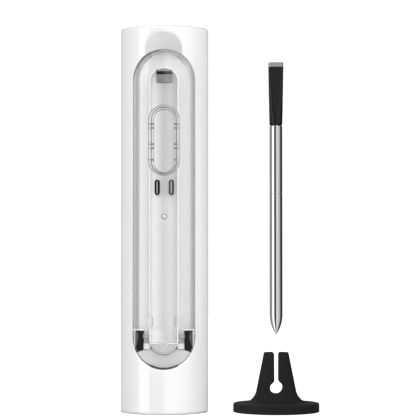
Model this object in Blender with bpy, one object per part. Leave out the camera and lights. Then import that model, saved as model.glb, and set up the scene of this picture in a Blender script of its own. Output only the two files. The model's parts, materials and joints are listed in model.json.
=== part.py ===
"""A wireless meat thermometer: a charging dock with a clear lid, its probe and a silicone holder.

Metres, +Z up. The origin is the middle of the dock's flat base, and -Y is the dock's crowned front.
The probe stands upright beside the dock, above the holder, as the three pieces are shown together.
"""

import math

import bmesh
import bpy
from mathutils import Vector

MM = 0.001
GAP = 0.3 * MM  # between pieces that meet
PAST = 4 * MM  # how far a cutter runs past the material

# Dock case
DOCK_HALF_WIDTH = 20.5 * MM
DOCK_HEIGHT = 180 * MM
DOCK_HALF_DEPTH = 15 * MM
CROWN_WIDTH_POWER = 2.3  # the front is a superellipse: a higher power is flatter in the middle
CROWN_DEPTH_POWER = 1.2
WALL = 1.8 * MM
EDGE_ROUND = 1.2 * MM
SHELL_BACK_Y = 12 * MM
BACK_CORNER = 2.4 * MM
BOSS_RADIUS = 2.6 * MM
SCREW_X = 15.2 * MM
SCREW_Z = (10.5 * MM, 169.5 * MM)
SCREW_RADIUS = 0.75 * MM
SCREW_HEAD_RADIUS = 1.6 * MM

# Recess in the front, with round ends
RECESS_RADIUS = 14.5 * MM
RECESS_LOW = 21 * MM
RECESS_HIGH = 169 * MM
COLLAR = 1.5 * MM
FLOOR_Y = -4.6 * MM  # front of the tray's floor
TRAY_BACK_Y = -2.4 * MM
TRAY_RADIUS = 15.6 * MM

# Channel that the probe lies in, on an island in the recess
CHANNEL_RADIUS = 6.1 * MM
CHANNEL_AXIS_Y = -10.5 * MM
CHANNEL_LOW = 33 * MM
HANDLE_BED_LOW = 100.5 * MM  # above here the channel is deeper, for the probe's handle
HANDLE_BED_AXIS_Y = -9.3 * MM
CHANNEL_HIGH = 160.2 * MM
ISLAND_RADIUS = 6.6 * MM
ISLAND_LOW = 27.8 * MM
SEAT_POINT_Z = 29.8 * MM

# Clear lid and its hinge
LID_RADIUS = RECESS_RADIUS - GAP
LID_LOW = 38.8 * MM
LID_BACK_Y = -5.1 * MM
LID_SKIN = 1.8 * MM
LID_SKIRT = 2.8 * MM
HINGE_Y = -9 * MM
HINGE_Z = 36 * MM
ARM_INNER = ISLAND_RADIUS + GAP
ARM_OUTER = 9.3 * MM
HUB_RADIUS = 3 * MM
PIN_RADIUS = 0.95 * MM
BLOCK_INNER = 9.7 * MM
BLOCK_OUTER = 12.9 * MM
BLOCK_NOSE = 2.5 * MM
RING_RADIUS = 7.05 * MM  # oval guide ring behind the lid
RING_LOW = 110.3 * MM
RING_HIGH = 143.1 * MM
RING_BACK_Y = -11.2 * MM

# Electrical parts
CONTACT_X = 3.25 * MM
CONTACT_Z = 105.15 * MM
SLOT_RADIUS = 1.05 * MM
SLOT_HALF_LENGTH = 3.5 * MM
END_CONTACT_Z = 156.25 * MM
LIGHT_Z = 91.6 * MM
BOARD_Y = 1.5 * MM
BOARD_THICKNESS = 1 * MM
MAGNET_RADIUS = 6 * MM
MAGNET_Z = (96 * MM, 150 * MM)

# Battery bay at the back
CELL_RADIUS = 5.2 * MM
CELL_Y = 6.7 * MM
CELL_LOW = 26.5 * MM
CELL_LENGTH = 44 * MM
BAY_HALF_WIDTH = 6.6 * MM
BAY_LOW = 20 * MM
BAY_HIGH = 76 * MM
BAY_WALL = 1 * MM
DOOR_HALF_WIDTH = 7.3 * MM

# Probe
PROBE_X = 52.3 * MM
STEM_RADIUS = 3 * MM
STEM_BORE = 2.3 * MM
HANDLE_HALF_WIDTH = 3.47 * MM
HANDLE_BORE = 1.9 * MM
TIP_Z = 36.4 * MM
OGIVE_LENGTH = 9.1 * MM
STEM_TOP = 134.3 * MM
HANDLE_LOW = 135.2 * MM
HANDLE_HIGH = 161.7 * MM
PROBE_HIGH = 164 * MM

# Silicone holder
HOLDER_X = 52.5 * MM
HOLDER_Y = 5 * MM
DISC_RADIUS = 20.3 * MM
DISC_HIGH = 4.2 * MM
HOLDER_HEIGHT = 28 * MM
HOLE_RADIUS = 3.03 * MM
HOLE_Z = 11.3 * MM
SLOT_HALF_WIDTH = 1.04 * MM


# Materials


def material(name, colour, roughness, metallic=0.0):
    made = bpy.data.materials.new(name)
    made.use_nodes = True
    shader = made.node_tree.nodes["Principled BSDF"]
    shader.inputs["Base Color"].default_value = (*colour, 1)
    shader.inputs["Roughness"].default_value = roughness
    shader.inputs["Metallic"].default_value = metallic
    made.diffuse_color = (*colour, 1)
    return made


def make_materials():
    return {
        "case": material("case_white", (0.86, 0.86, 0.86), 0.18),
        "tray": material("tray_white", (0.8, 0.8, 0.8), 0.35),
        "clear": material("clear_plastic", (0.82, 0.85, 0.87), 0.05),
        "black": material("black_plastic", (0.03, 0.03, 0.03), 0.5),
        "steel": material("polished_steel", (0.66, 0.65, 0.63), 0.12, 1.0),
        "contact": material("contact_metal", (0.75, 0.72, 0.66), 0.3, 1.0),
        "ceramic": material("black_ceramic", (0.02, 0.02, 0.02), 0.35),
        "cap": material("cap_metal", (0.6, 0.6, 0.59), 0.35, 1.0),
        "silicone": material("black_silicone", (0.025, 0.025, 0.025), 0.7),
        "board": material("board_green", (0.03, 0.2, 0.08), 0.5),
        "cell": material("cell_wrap", (0.25, 0.27, 0.3), 0.4),
    }


# Outlines


def crown(inset=0.0, steps=28):
    """The dock's front as (x, y) points from left to right, moved inwards by inset."""
    points = []
    for i in range(steps + 1):
        turn = math.pi * (i / steps - 0.5)
        side = math.copysign(abs(math.sin(turn)) ** (2 / CROWN_WIDTH_POWER), turn)
        ahead = abs(math.cos(turn)) ** (2 / CROWN_DEPTH_POWER)
        points.append(Vector((DOCK_HALF_WIDTH * side, -DOCK_HALF_DEPTH * ahead)))
    inner = []
    for i, point in enumerate(points):
        along = (points[min(i + 1, steps)] - points[max(i - 1, 0)]).normalized()
        if i in (0, steps):
            along = Vector((0, 1 if i else -1))
        inner.append((point.x - along.y * inset, point.y + along.x * inset))
    return inner


def case_outline(inset, back_y):
    """The front curve, closed by straight sides and a straight back at back_y."""
    half = DOCK_HALF_WIDTH - inset
    return [*crown(inset), (half, back_y), (-half, back_y)]


def stadium(radius, low, high, steps=15):
    """An upright slot with round ends, as (x, z) points."""
    points = []
    for middle, start in ((high - radius, 0), (low + radius, math.pi)):
        for i in range(steps + 1):
            turn = start + math.pi * i / steps
            points.append((radius * math.cos(turn), middle + radius * math.sin(turn)))
    return points


def circle(radius, middle=(0.0, 0.0), steps=20):
    turns = [2 * math.pi * i / steps for i in range(steps)]
    return [(middle[0] + radius * math.cos(t), middle[1] + radius * math.sin(t)) for t in turns]


def rectangle(left, right, low, high):
    return [(left, low), (right, low), (right, high), (left, high)]


def moved(points, across, along):
    return [(a + across, b + along) for a, b in points]


def mirrored(inner, outer):
    """The same span of X on the left and on the right."""
    return ((-outer, -inner), (inner, outer))


def crown_section(inset, back_y):
    """The region between the front curve and a straight line at back_y."""
    front = [(x, y) for x, y in crown(inset) if y < back_y]
    return [(front[0][0], back_y), *front, (front[-1][0], back_y)]


def end_steps(round_radius, steps=3):
    """(inset, height) pairs along a rounded edge, from its end to its full size."""
    turns = [math.pi / 2 * i / steps for i in range(steps + 1)]
    return [(round_radius * (1 - math.sin(t)), round_radius * (1 - math.cos(t))) for t in turns]


def case_levels():
    """(inset, z) pairs of the case from bottom to top, with its end edges rounded."""
    ends = end_steps(EDGE_ROUND)
    return ends + [(inset, DOCK_HEIGHT - height) for inset, height in reversed(ends)]


def screw_places():
    return [(x, z) for z in SCREW_Z for x in (-SCREW_X, SCREW_X)]


def round_square(half, corner, steps=5):
    """A square with round corners, as (x, y) points. A corner of half makes it a circle."""
    points = []
    for quarter in range(4):
        start = math.pi / 2 * quarter
        side_x = 1 if quarter in (0, 3) else -1
        side_y = 1 if quarter < 2 else -1
        for i in range(steps):
            turn = start + math.pi / 2 * (i + 0.5) / steps
            x = side_x * (half - corner) + corner * math.cos(turn)
            y = side_y * (half - corner) + corner * math.sin(turn)
            points.append((x, y))
    return points


# Meshes


def loft(rings):
    """A closed mesh through rings of 3-D points, each ring with the same number of them."""
    mesh = bmesh.new()
    rows = [[mesh.verts.new(point) for point in ring] for ring in rings]
    for low, high in zip(rows, rows[1:]):
        for i, here in enumerate(low):
            after = (i + 1) % len(low)
            mesh.faces.new((here, low[after], high[after], high[i]))
    mesh.faces.new(rows[0])
    mesh.faces.new(rows[-1])
    bmesh.ops.recalc_face_normals(mesh, faces=mesh.faces)
    return mesh


def prism_z(outline, low, high):
    return loft([[(x, y, z) for x, y in outline] for z in (low, high)])


def prism_y(outline, front, back):
    return loft([[(x, y, z) for x, z in outline] for y in (front, back)])


def prism_x(outline, left, right):
    return loft([[(x, y, z) for y, z in outline] for x in (left, right)])


def box(x_range, y_range, z_range):
    return prism_z(rectangle(*x_range, *y_range), *z_range)


def turned(profile, middle=(0.0, 0.0), steps=24):
    """A solid turned about a vertical axis, from (radius, z) points that run from low to high."""
    return loft([[(*point, z) for point in circle(r, middle, steps)] for r, z in profile])


def turned_y(profile, middle, steps=20):
    """The same about an axis along Y through (x, z), from (radius, y) points."""
    rings = []
    for radius, y in profile:
        rings.append([(x, y, z) for x, z in circle(radius, middle, steps)])
    return loft(rings)


def coil(radii, wire, span, turns, place, steps=10, sides=5):
    """A spring as one closed tube. place puts (across, across, along) into the world."""
    rings = []
    count = int(turns * steps)
    for i in range(count + 1):
        share = i / count
        turn = 2 * math.pi * i / steps
        middle = radii[0] + (radii[1] - radii[0]) * share
        along = span[0] + wire + (span[1] - span[0] - 2 * wire) * share
        ring = []
        for outwards, onwards in circle(wire, steps=sides):
            reach = middle + outwards
            ring.append(place(reach * math.cos(turn), reach * math.sin(turn), along + onwards))
        rings.append(ring)
    return loft(rings)


def ellipsoid(middle, radii, steps=20):
    mesh = bmesh.new()
    bmesh.ops.create_uvsphere(mesh, u_segments=steps, v_segments=steps // 2, radius=1)
    bmesh.ops.scale(mesh, verts=mesh.verts, vec=radii)
    bmesh.ops.translate(mesh, verts=mesh.verts, vec=middle)
    return mesh


# Objects


def add(name, mesh, finish, pivot=None):
    """A named object from a mesh in world places. pivot is the empty on its joint's axis."""
    if pivot:
        bmesh.ops.translate(mesh, verts=mesh.verts, vec=-pivot.location)
    data = bpy.data.meshes.new(name)
    mesh.to_mesh(data)
    mesh.free()
    data.materials.append(finish)
    data.shade_smooth()
    data.set_sharp_from_angle(angle=math.radians(35))
    made = bpy.data.objects.new(name, data)
    bpy.context.scene.collection.objects.link(made)
    made.parent = pivot
    return made


def add_pivot(name, place):
    made = bpy.data.objects.new(name, None)
    made.location = place
    made.empty_display_size = 5 * MM
    bpy.context.scene.collection.objects.link(made)
    return made


def add_helper(name, mesh, like):
    """A cutter or mask for like. It is left out of renders."""
    made = add(name, mesh, like.data.materials[0], like.parent)
    made.hide_render = True
    made.display_type = "WIRE"
    return made


def combine(made, operation, helper):
    boolean = made.modifiers.new(helper.name, "BOOLEAN")
    boolean.operation = operation
    boolean.solver = "EXACT"
    boolean.object = helper


def cut(made, *meshes):
    for mesh in meshes:
        combine(made, "DIFFERENCE", add_helper(f"{made.name}_cutter", mesh, made))


def join(made, *meshes):
    for mesh in meshes:
        combine(made, "UNION", add_helper(f"{made.name}_addition", mesh, made))


def keep(made, mesh):
    combine(made, "INTERSECT", add_helper(f"{made.name}_mask", mesh, made))


# Dock case


def make_front_shell(finish):
    rings = []
    for inset, z in case_levels():
        rings.append([(x, y, z) for x, y in case_outline(inset, SHELL_BACK_Y)])
    shell = add("front_shell", loft(rings), finish)

    inside = prism_z(case_outline(WALL, SHELL_BACK_Y + PAST), WALL, DOCK_HEIGHT - WALL)
    cavity = add_helper("front_shell_cavity", inside, shell)
    ahead = -DOCK_HALF_DEPTH - PAST
    collar = stadium(RECESS_RADIUS + COLLAR, RECESS_LOW - COLLAR, RECESS_HIGH + COLLAR)
    cut(cavity, prism_y(collar, ahead, FLOOR_Y - GAP))
    cut(cavity, box((-10 * MM, 10 * MM), (ahead, -9 * MM), (162 * MM, DOCK_HEIGHT)))
    for place in screw_places():
        cut(cavity, prism_y(circle(BOSS_RADIUS, place, 14), ahead, SHELL_BACK_Y - GAP))
    combine(shell, "DIFFERENCE", cavity)

    recess = stadium(RECESS_RADIUS, RECESS_LOW, RECESS_HIGH)
    cut(shell, prism_y(recess, ahead, FLOOR_Y + PAST / 2))
    cut(shell, ellipsoid((0, -16.5 * MM, RECESS_HIGH - MM), (11.2 * MM, 4.2 * MM, 9 * MM)))
    for place in screw_places():
        hole = circle(SCREW_RADIUS + GAP, place, 10)
        cut(shell, prism_y(hole, 2 * MM, SHELL_BACK_Y + PAST))


def back_outline(front):
    """The back cover from above: its front edge, and its sides with rounded back corners."""
    corner = []
    for i in range(5):
        turn = math.pi / 2 * i / 4
        x = DOCK_HALF_WIDTH - BACK_CORNER * (1 - math.cos(turn))
        corner.append((x, DOCK_HALF_DEPTH - BACK_CORNER * (1 - math.sin(turn))))
    left = [(-x, y) for x, y in reversed(corner)]
    return [(-DOCK_HALF_WIDTH, front), (DOCK_HALF_WIDTH, front), *corner, *left]


def make_back_cover(finish):
    front = SHELL_BACK_Y + GAP
    rings = []
    for inset, z in case_levels():
        narrower = 1 - inset / DOCK_HALF_WIDTH
        shallower = 1 - inset / (DOCK_HALF_DEPTH - front)
        ring = []
        for x, y in back_outline(front):
            ring.append((x * narrower, front + (y - front) * shallower, z))
        rings.append(ring)
    cover = add("back_cover", loft(rings), finish)
    around = DOOR_HALF_WIDTH + GAP
    opening = rectangle(-around, around, BAY_LOW - GAP, BAY_HIGH + 1 * MM)
    cut(cover, prism_y(opening, front - PAST, DOCK_HALF_DEPTH + PAST))
    for z in MAGNET_Z:
        pocket = circle(MAGNET_RADIUS + GAP, (0, z))
        cut(cover, prism_y(pocket, front - PAST, front + 1.5 * MM))
    for place in screw_places():
        cut(cover, prism_y(circle(SCREW_RADIUS + GAP, place, 10), front - PAST, front + PAST))
        head = circle(SCREW_HEAD_RADIUS + GAP, place, 14)
        cut(cover, prism_y(head, front + 0.9 * MM, DOCK_HALF_DEPTH + PAST))


def make_case_screws(finish):
    head = SHELL_BACK_Y + 2 * GAP + 0.9 * MM
    for number, place in enumerate(screw_places(), 1):
        profile = [
            (0.4 * MM, 3.2 * MM),
            (SCREW_RADIUS, 4.2 * MM),
            (SCREW_RADIUS, head),
            (SCREW_HEAD_RADIUS, head),
            (SCREW_HEAD_RADIUS, head + 0.7 * MM),
            (SCREW_HEAD_RADIUS - 0.4 * MM, head + 1 * MM),
        ]
        screw = add(f"case_screw_{number}", turned_y(profile, place, 12), finish)
        drive = rectangle(-0.9 * MM, 0.9 * MM, -0.2 * MM, 0.2 * MM)
        cut(screw, prism_y(moved(drive, *place), head + 0.4 * MM, head + PAST))


def make_magnets(finish):
    for name, z in zip(("back_magnet_lower", "back_magnet_upper"), MAGNET_Z):
        edge = MAGNET_RADIUS - GAP
        ys = [value * MM for value in (11.9, 12.2, 13.2, 13.5)]
        radii = (edge, MAGNET_RADIUS, MAGNET_RADIUS, edge)
        add(name, turned_y(list(zip(radii, ys)), (0, z)), finish)


# Tray with the probe's channel


def channel_cutter(axis_y, low):
    dome_z = CHANNEL_HIGH - CHANNEL_RADIUS
    profile = [(CHANNEL_RADIUS, low)]
    for i in range(6):
        turn = math.pi / 2 * i / 6
        z = dome_z + CHANNEL_RADIUS * math.sin(turn)
        profile.append((CHANNEL_RADIUS * math.cos(turn), z))
    profile.append((0.4 * MM, CHANNEL_HIGH))
    return turned(profile, (0, axis_y), 32)


def make_probe_tray(finish):
    floor = stadium(TRAY_RADIUS, RECESS_LOW - 1.1 * MM, RECESS_HIGH + 1.1 * MM)
    tray = add("probe_tray", prism_y(floor, FLOOR_Y, TRAY_BACK_Y), finish)
    rim = ISLAND_RADIUS - CHANNEL_RADIUS
    island = stadium(ISLAND_RADIUS, ISLAND_LOW, CHANNEL_HIGH + rim)
    join(tray, prism_y(island, CHANNEL_AXIS_Y, TRAY_BACK_Y - 1 * MM))
    cut(tray, channel_cutter(CHANNEL_AXIS_Y, CHANNEL_LOW))
    cut(tray, channel_cutter(HANDLE_BED_AXIS_Y, HANDLE_BED_LOW))

    notch_high = CHANNEL_LOW + 1 * MM
    notch_half = (notch_high - SEAT_POINT_Z) * 0.55
    notch = [(-notch_half, notch_high), (0, SEAT_POINT_Z), (notch_half, notch_high)]
    cut(tray, prism_y(notch, CHANNEL_AXIS_Y - PAST, FLOOR_Y - GAP))

    through = (CHANNEL_AXIS_Y - PAST, TRAY_BACK_Y + PAST)
    slot = stadium(SLOT_RADIUS, CONTACT_Z - SLOT_HALF_LENGTH, CONTACT_Z + SLOT_HALF_LENGTH, 6)
    for x in (-CONTACT_X, CONTACT_X):
        cut(tray, prism_y(moved(slot, x, 0), *through))
    end_pocket = rectangle(-3.7 * MM, 3.7 * MM, 154.2 * MM, 159.8 * MM)
    cut(tray, prism_y(end_pocket, *through))
    cut(tray, prism_y(circle(1.35 * MM, (0, LIGHT_Z), 16), *through))
    for x_span in mirrored(BLOCK_INNER - GAP, BLOCK_OUTER + GAP):
        window = rectangle(*x_span, HINGE_Z - 6 * MM, HINGE_Z + 2.8 * MM)
        cut(tray, prism_y(window, *through))


def make_recess_trim(finish):
    """The crescent below the lid, around the end of the island."""
    outline = stadium(LID_RADIUS, RECESS_LOW + GAP, RECESS_HIGH - GAP)
    trim = add("recess_trim", prism_y(outline, -8.5 * MM, FLOOR_Y - GAP), finish)
    wide = RECESS_RADIUS + PAST
    cut(trim, box((-wide, wide), (-12 * MM, 0), (29.9 * MM, RECESS_HIGH + PAST)))
    island = stadium(ISLAND_RADIUS + GAP, ISLAND_LOW - GAP, RECESS_HIGH)
    cut(trim, prism_y(island, -12 * MM, 0))


# Lid and hinge


def arm_outline():
    """The side of a hinge arm, as (y, z) points: a strip on the lid's skin and a round hub."""
    points = [(-12.6 * MM, 44 * MM)]
    for i in range(12):
        turn = math.radians(180 + 220 * i / 11)
        y = HINGE_Y + HUB_RADIUS * math.cos(turn)
        points.append((y, HINGE_Z + HUB_RADIUS * math.sin(turn)))
    return [*points, (-10.4 * MM, 44 * MM)]


def make_clear_lid(finish, pivot):
    ahead = -DOCK_HALF_DEPTH - PAST
    block = prism_z(crown_section(0, LID_BACK_Y), LID_LOW, RECESS_HIGH + PAST)
    lid = add("clear_lid", block, finish, pivot)
    outline = stadium(LID_RADIUS, RECESS_LOW + GAP, RECESS_HIGH - GAP)
    keep(lid, prism_y(outline, ahead, 0))

    inside = prism_z(crown_section(LID_SKIN, LID_BACK_Y + PAST), LID_LOW - PAST, RECESS_HIGH + PAST)
    hollow = add_helper("clear_lid_hollow", inside, lid)
    inner = LID_RADIUS - LID_SKIRT
    keep(hollow, prism_y(stadium(inner, RECESS_LOW, RECESS_HIGH - GAP - LID_SKIRT), ahead, PAST))
    combine(lid, "DIFFERENCE", hollow)

    for x_span in mirrored(ARM_INNER, ARM_OUTER):
        join(lid, prism_x(arm_outline(), *x_span))
    for x_span in mirrored(4.8 * MM, 7.3 * MM):
        join(lid, box(x_span, (-13 * MM, -11 * MM), (40.6 * MM, 45 * MM)))
    bore = circle(PIN_RADIUS + GAP, (HINGE_Y, HINGE_Z), 16)
    cut(lid, prism_x(bore, -ARM_OUTER - PAST, ARM_OUTER + PAST))


def make_guide_ring(finish, pivot):
    """The oval ring behind the lid that stands round the probe's handle."""
    high = RING_HIGH + PAST
    block = prism_z(crown_section(LID_SKIN + GAP, RING_BACK_Y), RING_LOW - PAST, high)
    ring = add("handle_guide_ring", block, finish, pivot)
    ahead = -DOCK_HALF_DEPTH - PAST
    keep(ring, prism_y(stadium(RING_RADIUS, RING_LOW, RING_HIGH), ahead, 0))
    hole = stadium(4.5 * MM, RING_LOW + 1.6 * MM, RING_HIGH - 2.3 * MM)
    cut(ring, prism_y(hole, ahead, 0))
    for z in (117.2 * MM, 124.2 * MM, 133.5 * MM):
        notch = (z - 0.4 * MM, z + 0.4 * MM)
        across = (-RING_RADIUS - PAST, RING_RADIUS + PAST)
        cut(ring, box(across, (RING_BACK_Y - 0.4 * MM, 0), notch))


def block_outline():
    """The side of a hinge block, as (y, z) points, with a round nose about the hinge's axis."""
    low = HINGE_Z - 5.7 * MM
    points = [(-1.6 * MM, low), (-1.6 * MM, HINGE_Z + BLOCK_NOSE)]
    for i in range(9):
        turn = math.radians(90 + 110 * i / 8)
        y = HINGE_Y + BLOCK_NOSE * math.cos(turn)
        points.append((y, HINGE_Z + BLOCK_NOSE * math.sin(turn)))
    return [*points, (-9.6 * MM, low)]


def make_hinge(pin_finish, block_finish):
    pin_spans = mirrored(ARM_INNER + GAP / 2, 12.1 * MM)
    bore_spans = mirrored(BLOCK_INNER - GAP, 12.4 * MM)
    flange_spans = mirrored(9.2 * MM, 13.5 * MM)
    block_spans = mirrored(BLOCK_INNER, BLOCK_OUTER)
    axis = (HINGE_Y, HINGE_Z)
    for i, side in enumerate(("left", "right")):
        pin = circle(PIN_RADIUS, axis, 16)
        add(f"hinge_pin_{side}", prism_x(pin, *pin_spans[i]), pin_finish)
        block = add(f"hinge_block_{side}", prism_x(block_outline(), *block_spans[i]), block_finish)
        flange_z = (HINGE_Z - 6.8 * MM, HINGE_Z + 3.6 * MM)
        join(block, box(flange_spans[i], (TRAY_BACK_Y + GAP, -1.1 * MM), flange_z))
        cut(block, prism_x(circle(PIN_RADIUS + GAP, axis, 16), *bore_spans[i]))


# Electrical parts


def make_side_contacts(finish, spring_finish, pivots):
    for side, x, pivot in zip(("left", "right"), (-CONTACT_X, CONTACT_X), pivots):
        bar_x = (x - 0.65 * MM, x + 0.65 * MM)
        bar_z = (CONTACT_Z - 3 * MM, CONTACT_Z + 3 * MM)
        bar = box(bar_x, (-6.3 * MM, -1.2 * MM), bar_z)
        contact = add(f"charge_contact_{side}", bar, finish, pivot)
        flange_x = (x - 1.2 * MM, x + 1.2 * MM)
        flange_z = (CONTACT_Z - 3.9 * MM, CONTACT_Z + 3.9 * MM)
        join(contact, box(flange_x, (-1.4 * MM, -0.8 * MM), flange_z))

        def place(across, up, along, x=x):
            return (x + across, along, CONTACT_Z + up)

        spring = coil((0.9 * MM, 0.9 * MM), 0.18 * MM, (-0.5 * MM, 1.2 * MM), 3, place)
        add(f"contact_spring_{side}", spring, spring_finish)


def make_contact_carrier(finish):
    z_span = (CONTACT_Z - 6.4 * MM, CONTACT_Z + 6.4 * MM)
    block = box((-5.6 * MM, 5.6 * MM), (TRAY_BACK_Y + GAP, BOARD_Y - GAP), z_span)
    carrier = add("contact_carrier", block, finish)
    for x in (-CONTACT_X, CONTACT_X):
        pocket_z = (CONTACT_Z - 4.2 * MM, CONTACT_Z + 4.2 * MM)
        cut(carrier, box((x - 1.5 * MM, x + 1.5 * MM), (-1.7 * MM, PAST), pocket_z))
        mouth_z = (CONTACT_Z - 3.3 * MM, CONTACT_Z + 3.3 * MM)
        cut(carrier, box((x - 0.95 * MM, x + 0.95 * MM), (-PAST, 0), mouth_z))


def make_end_contact(finish, spring_finish, pivot):
    pad_z = (END_CONTACT_Z - 1.75 * MM, END_CONTACT_Z + 1.75 * MM)
    pad = box((-3.4 * MM, 3.4 * MM), (-4.8 * MM, -1.8 * MM), pad_z)
    contact = add("end_contact", pad, finish, pivot)
    flange_z = (153.3 * MM, 160.5 * MM)
    join(contact, box((-4.3 * MM, 4.3 * MM), (TRAY_BACK_Y + GAP, -1.5 * MM), flange_z))

    def place(across, up, along):
        return (across, along, END_CONTACT_Z + up)

    spring = coil((1.3 * MM, 1.3 * MM), 0.2 * MM, (-1.2 * MM, 1.2 * MM), 4, place)
    add("end_contact_spring", spring, spring_finish)


def make_light(clear_finish, led_finish):
    profile = [
        (0.8 * MM, -4.7 * MM),
        (1.05 * MM, -4.5 * MM),
        (1.05 * MM, TRAY_BACK_Y + GAP),
        (1.9 * MM, TRAY_BACK_Y + GAP),
        (1.9 * MM, -1.4 * MM),
        (0.9 * MM, -1.4 * MM),
        (0.9 * MM, 0.1 * MM),
    ]
    add("light_pipe", turned_y(profile, (0, LIGHT_Z), 16), clear_finish)
    z_span = (LIGHT_Z - 0.8 * MM, LIGHT_Z + 0.8 * MM)
    add("indicator_led", box((-0.8 * MM, 0.8 * MM), (0.4 * MM, 1.2 * MM), z_span), led_finish)


def make_board(finishes):
    back = BOARD_Y + BOARD_THICKNESS
    board = box((-13.5 * MM, 13.5 * MM), (BOARD_Y, back), (80 * MM, 165 * MM))
    add("main_board", board, finishes["board"])
    on_board = back + GAP
    parts = (
        ("radio_module", 5, 118, 132, 1.5, "cap"),
        ("charge_controller", 2.5, 104, 109, 1, "black"),
        ("power_connector", 3, 81.5, 85.5, 2.4, "tray"),
    )
    for name, half, low, high, thick, finish in parts:
        x_span = (-half * MM, half * MM)
        y_span = (on_board, on_board + thick * MM)
        add(name, box(x_span, y_span, (low * MM, high * MM)), finishes[finish])


# Battery bay


def make_battery(finishes):
    outer_y = (0.2 * MM, SHELL_BACK_Y - GAP)
    outside = box((-BAY_HALF_WIDTH, BAY_HALF_WIDTH), outer_y, (BAY_LOW, BAY_HIGH))
    holder = add("battery_holder", outside, finishes["black"])
    inner = BAY_HALF_WIDTH - BAY_WALL
    inner_z = (BAY_LOW + BAY_WALL, BAY_HIGH - BAY_WALL)
    cut(holder, box((-inner, inner), (1.2 * MM, SHELL_BACK_Y + PAST), inner_z))

    high = CELL_LOW + CELL_LENGTH
    profile = [
        (3.6 * MM, CELL_LOW),
        (CELL_RADIUS, CELL_LOW + 0.4 * MM),
        (CELL_RADIUS, high - 0.4 * MM),
        (CELL_RADIUS - 0.4 * MM, high),
        (2 * MM, high),
        (1.9 * MM, high + 1.2 * MM),
    ]
    add("battery_cell", turned(profile, (0, CELL_Y)), finishes["cell"])

    def place(across, along_y, up):
        return (across, CELL_Y + along_y, up)

    cone = (3.6 * MM, 2.2 * MM)
    span = (BAY_LOW + BAY_WALL + GAP, CELL_LOW - GAP)
    add("battery_spring", coil(cone, 0.35 * MM, span, 3, place, 12), finishes["contact"])
    plate_low = high + 1.5 * MM
    plate_high = BAY_HIGH - BAY_WALL - GAP
    bend_y = CELL_Y - 2.6 * MM
    strip = 0.5 * MM
    leaf = [
        (CELL_Y + 2.6 * MM, plate_low),
        (CELL_Y + 2.6 * MM, plate_low + strip),
        (bend_y + strip, plate_low + strip),
        (bend_y + strip, plate_high),
        (bend_y, plate_high),
        (bend_y, plate_low),
    ]
    add("battery_plate", prism_x(leaf, -3.2 * MM, 3.2 * MM), finishes["contact"])


def make_battery_door(finish, pivot):
    x_span = (-DOOR_HALF_WIDTH, DOOR_HALF_WIDTH)
    y_span = (SHELL_BACK_Y + 2 * GAP, DOCK_HALF_DEPTH)
    door = add("battery_door", box(x_span, y_span, (BAY_LOW, BAY_HIGH + 0.7 * MM)), finish, pivot)
    cut(door, ellipsoid((0, DOCK_HALF_DEPTH + 0.6 * MM, 70 * MM), (5 * MM, 1.6 * MM, 3 * MM), 16))


# Probe


def square_rings(levels, x_middle):
    """Rings of rounded squares about an upright axis, from (half width, corner, z) levels."""
    rings = []
    for half, corner, z in levels:
        rings.append([(x_middle + x, y, z) for x, y in round_square(half, corner)])
    return rings


def ogive(height):
    """The stem's radius at this height above its tip: a tangent ogive, then the plain tube."""
    if height >= OGIVE_LENGTH:
        return STEM_RADIUS
    sweep = (STEM_RADIUS**2 + OGIVE_LENGTH**2) / (2 * STEM_RADIUS)
    short = OGIVE_LENGTH - height
    return max(math.sqrt(sweep**2 - short**2) - (sweep - STEM_RADIUS), 0.12 * MM)


def make_probe(finishes, pivot):
    middle = (PROBE_X, 0)
    heights = [OGIVE_LENGTH * (i / 10) ** 1.3 for i in range(11)]
    profile = [(ogive(height), TIP_Z + height) for height in heights]
    for radius, z in ((3, 102), (2.78, 102.08), (2.78, 102.32), (3, 102.4)):
        profile.append((radius * MM, z * MM))  # the line that the stem goes into the meat up to
    profile.append((STEM_RADIUS, STEM_TOP))
    stem = add("probe_stem", turned(profile, middle, 32), finishes["steel"], pivot)
    bore_low = TIP_Z + OGIVE_LENGTH + 0.8 * MM
    cut(stem, turned([(STEM_BORE, bore_low), (STEM_BORE, STEM_TOP + PAST)], middle))

    seal_low = STEM_TOP + GAP
    seal_profile = [(STEM_RADIUS - 0.1 * MM, z) for z in (seal_low, HANDLE_LOW - GAP)]
    seal = add("handle_seal", turned(seal_profile, middle, 32), finishes["silicone"], pivot)
    cut(seal, turned([(HANDLE_BORE, seal_low - PAST), (HANDLE_BORE, HANDLE_LOW + PAST)], middle))

    round_low = 3.05 * MM
    levels = [
        (round_low - 0.15 * MM, round_low - 0.15 * MM, HANDLE_LOW),
        (round_low, round_low, HANDLE_LOW + 0.2 * MM),
        (3.25 * MM, 2.3 * MM, 148 * MM),
        (HANDLE_HALF_WIDTH, 1.5 * MM, HANDLE_HIGH),
    ]
    handle = add("probe_handle", loft(square_rings(levels, PROBE_X)), finishes["ceramic"], pivot)
    bore_span = (HANDLE_LOW - PAST, HANDLE_HIGH + PAST)
    cut(handle, turned([(HANDLE_BORE, z) for z in bore_span], middle))

    cap_low = HANDLE_HIGH + GAP
    levels = [
        (HANDLE_HALF_WIDTH, 1.5 * MM, cap_low),
        (HANDLE_HALF_WIDTH, 1.5 * MM, PROBE_HIGH - 0.3 * MM),
        (HANDLE_HALF_WIDTH - 0.3 * MM, 1.3 * MM, PROBE_HIGH),
    ]
    cap = add("probe_end_cap", loft(square_rings(levels, PROBE_X)), finishes["cap"], pivot)
    spigot = HANDLE_BORE - GAP
    join(cap, turned([(spigot, 159.6 * MM), (spigot, cap_low + 0.5 * MM)], middle, 16))
    make_probe_insides(finishes, pivot)


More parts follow.
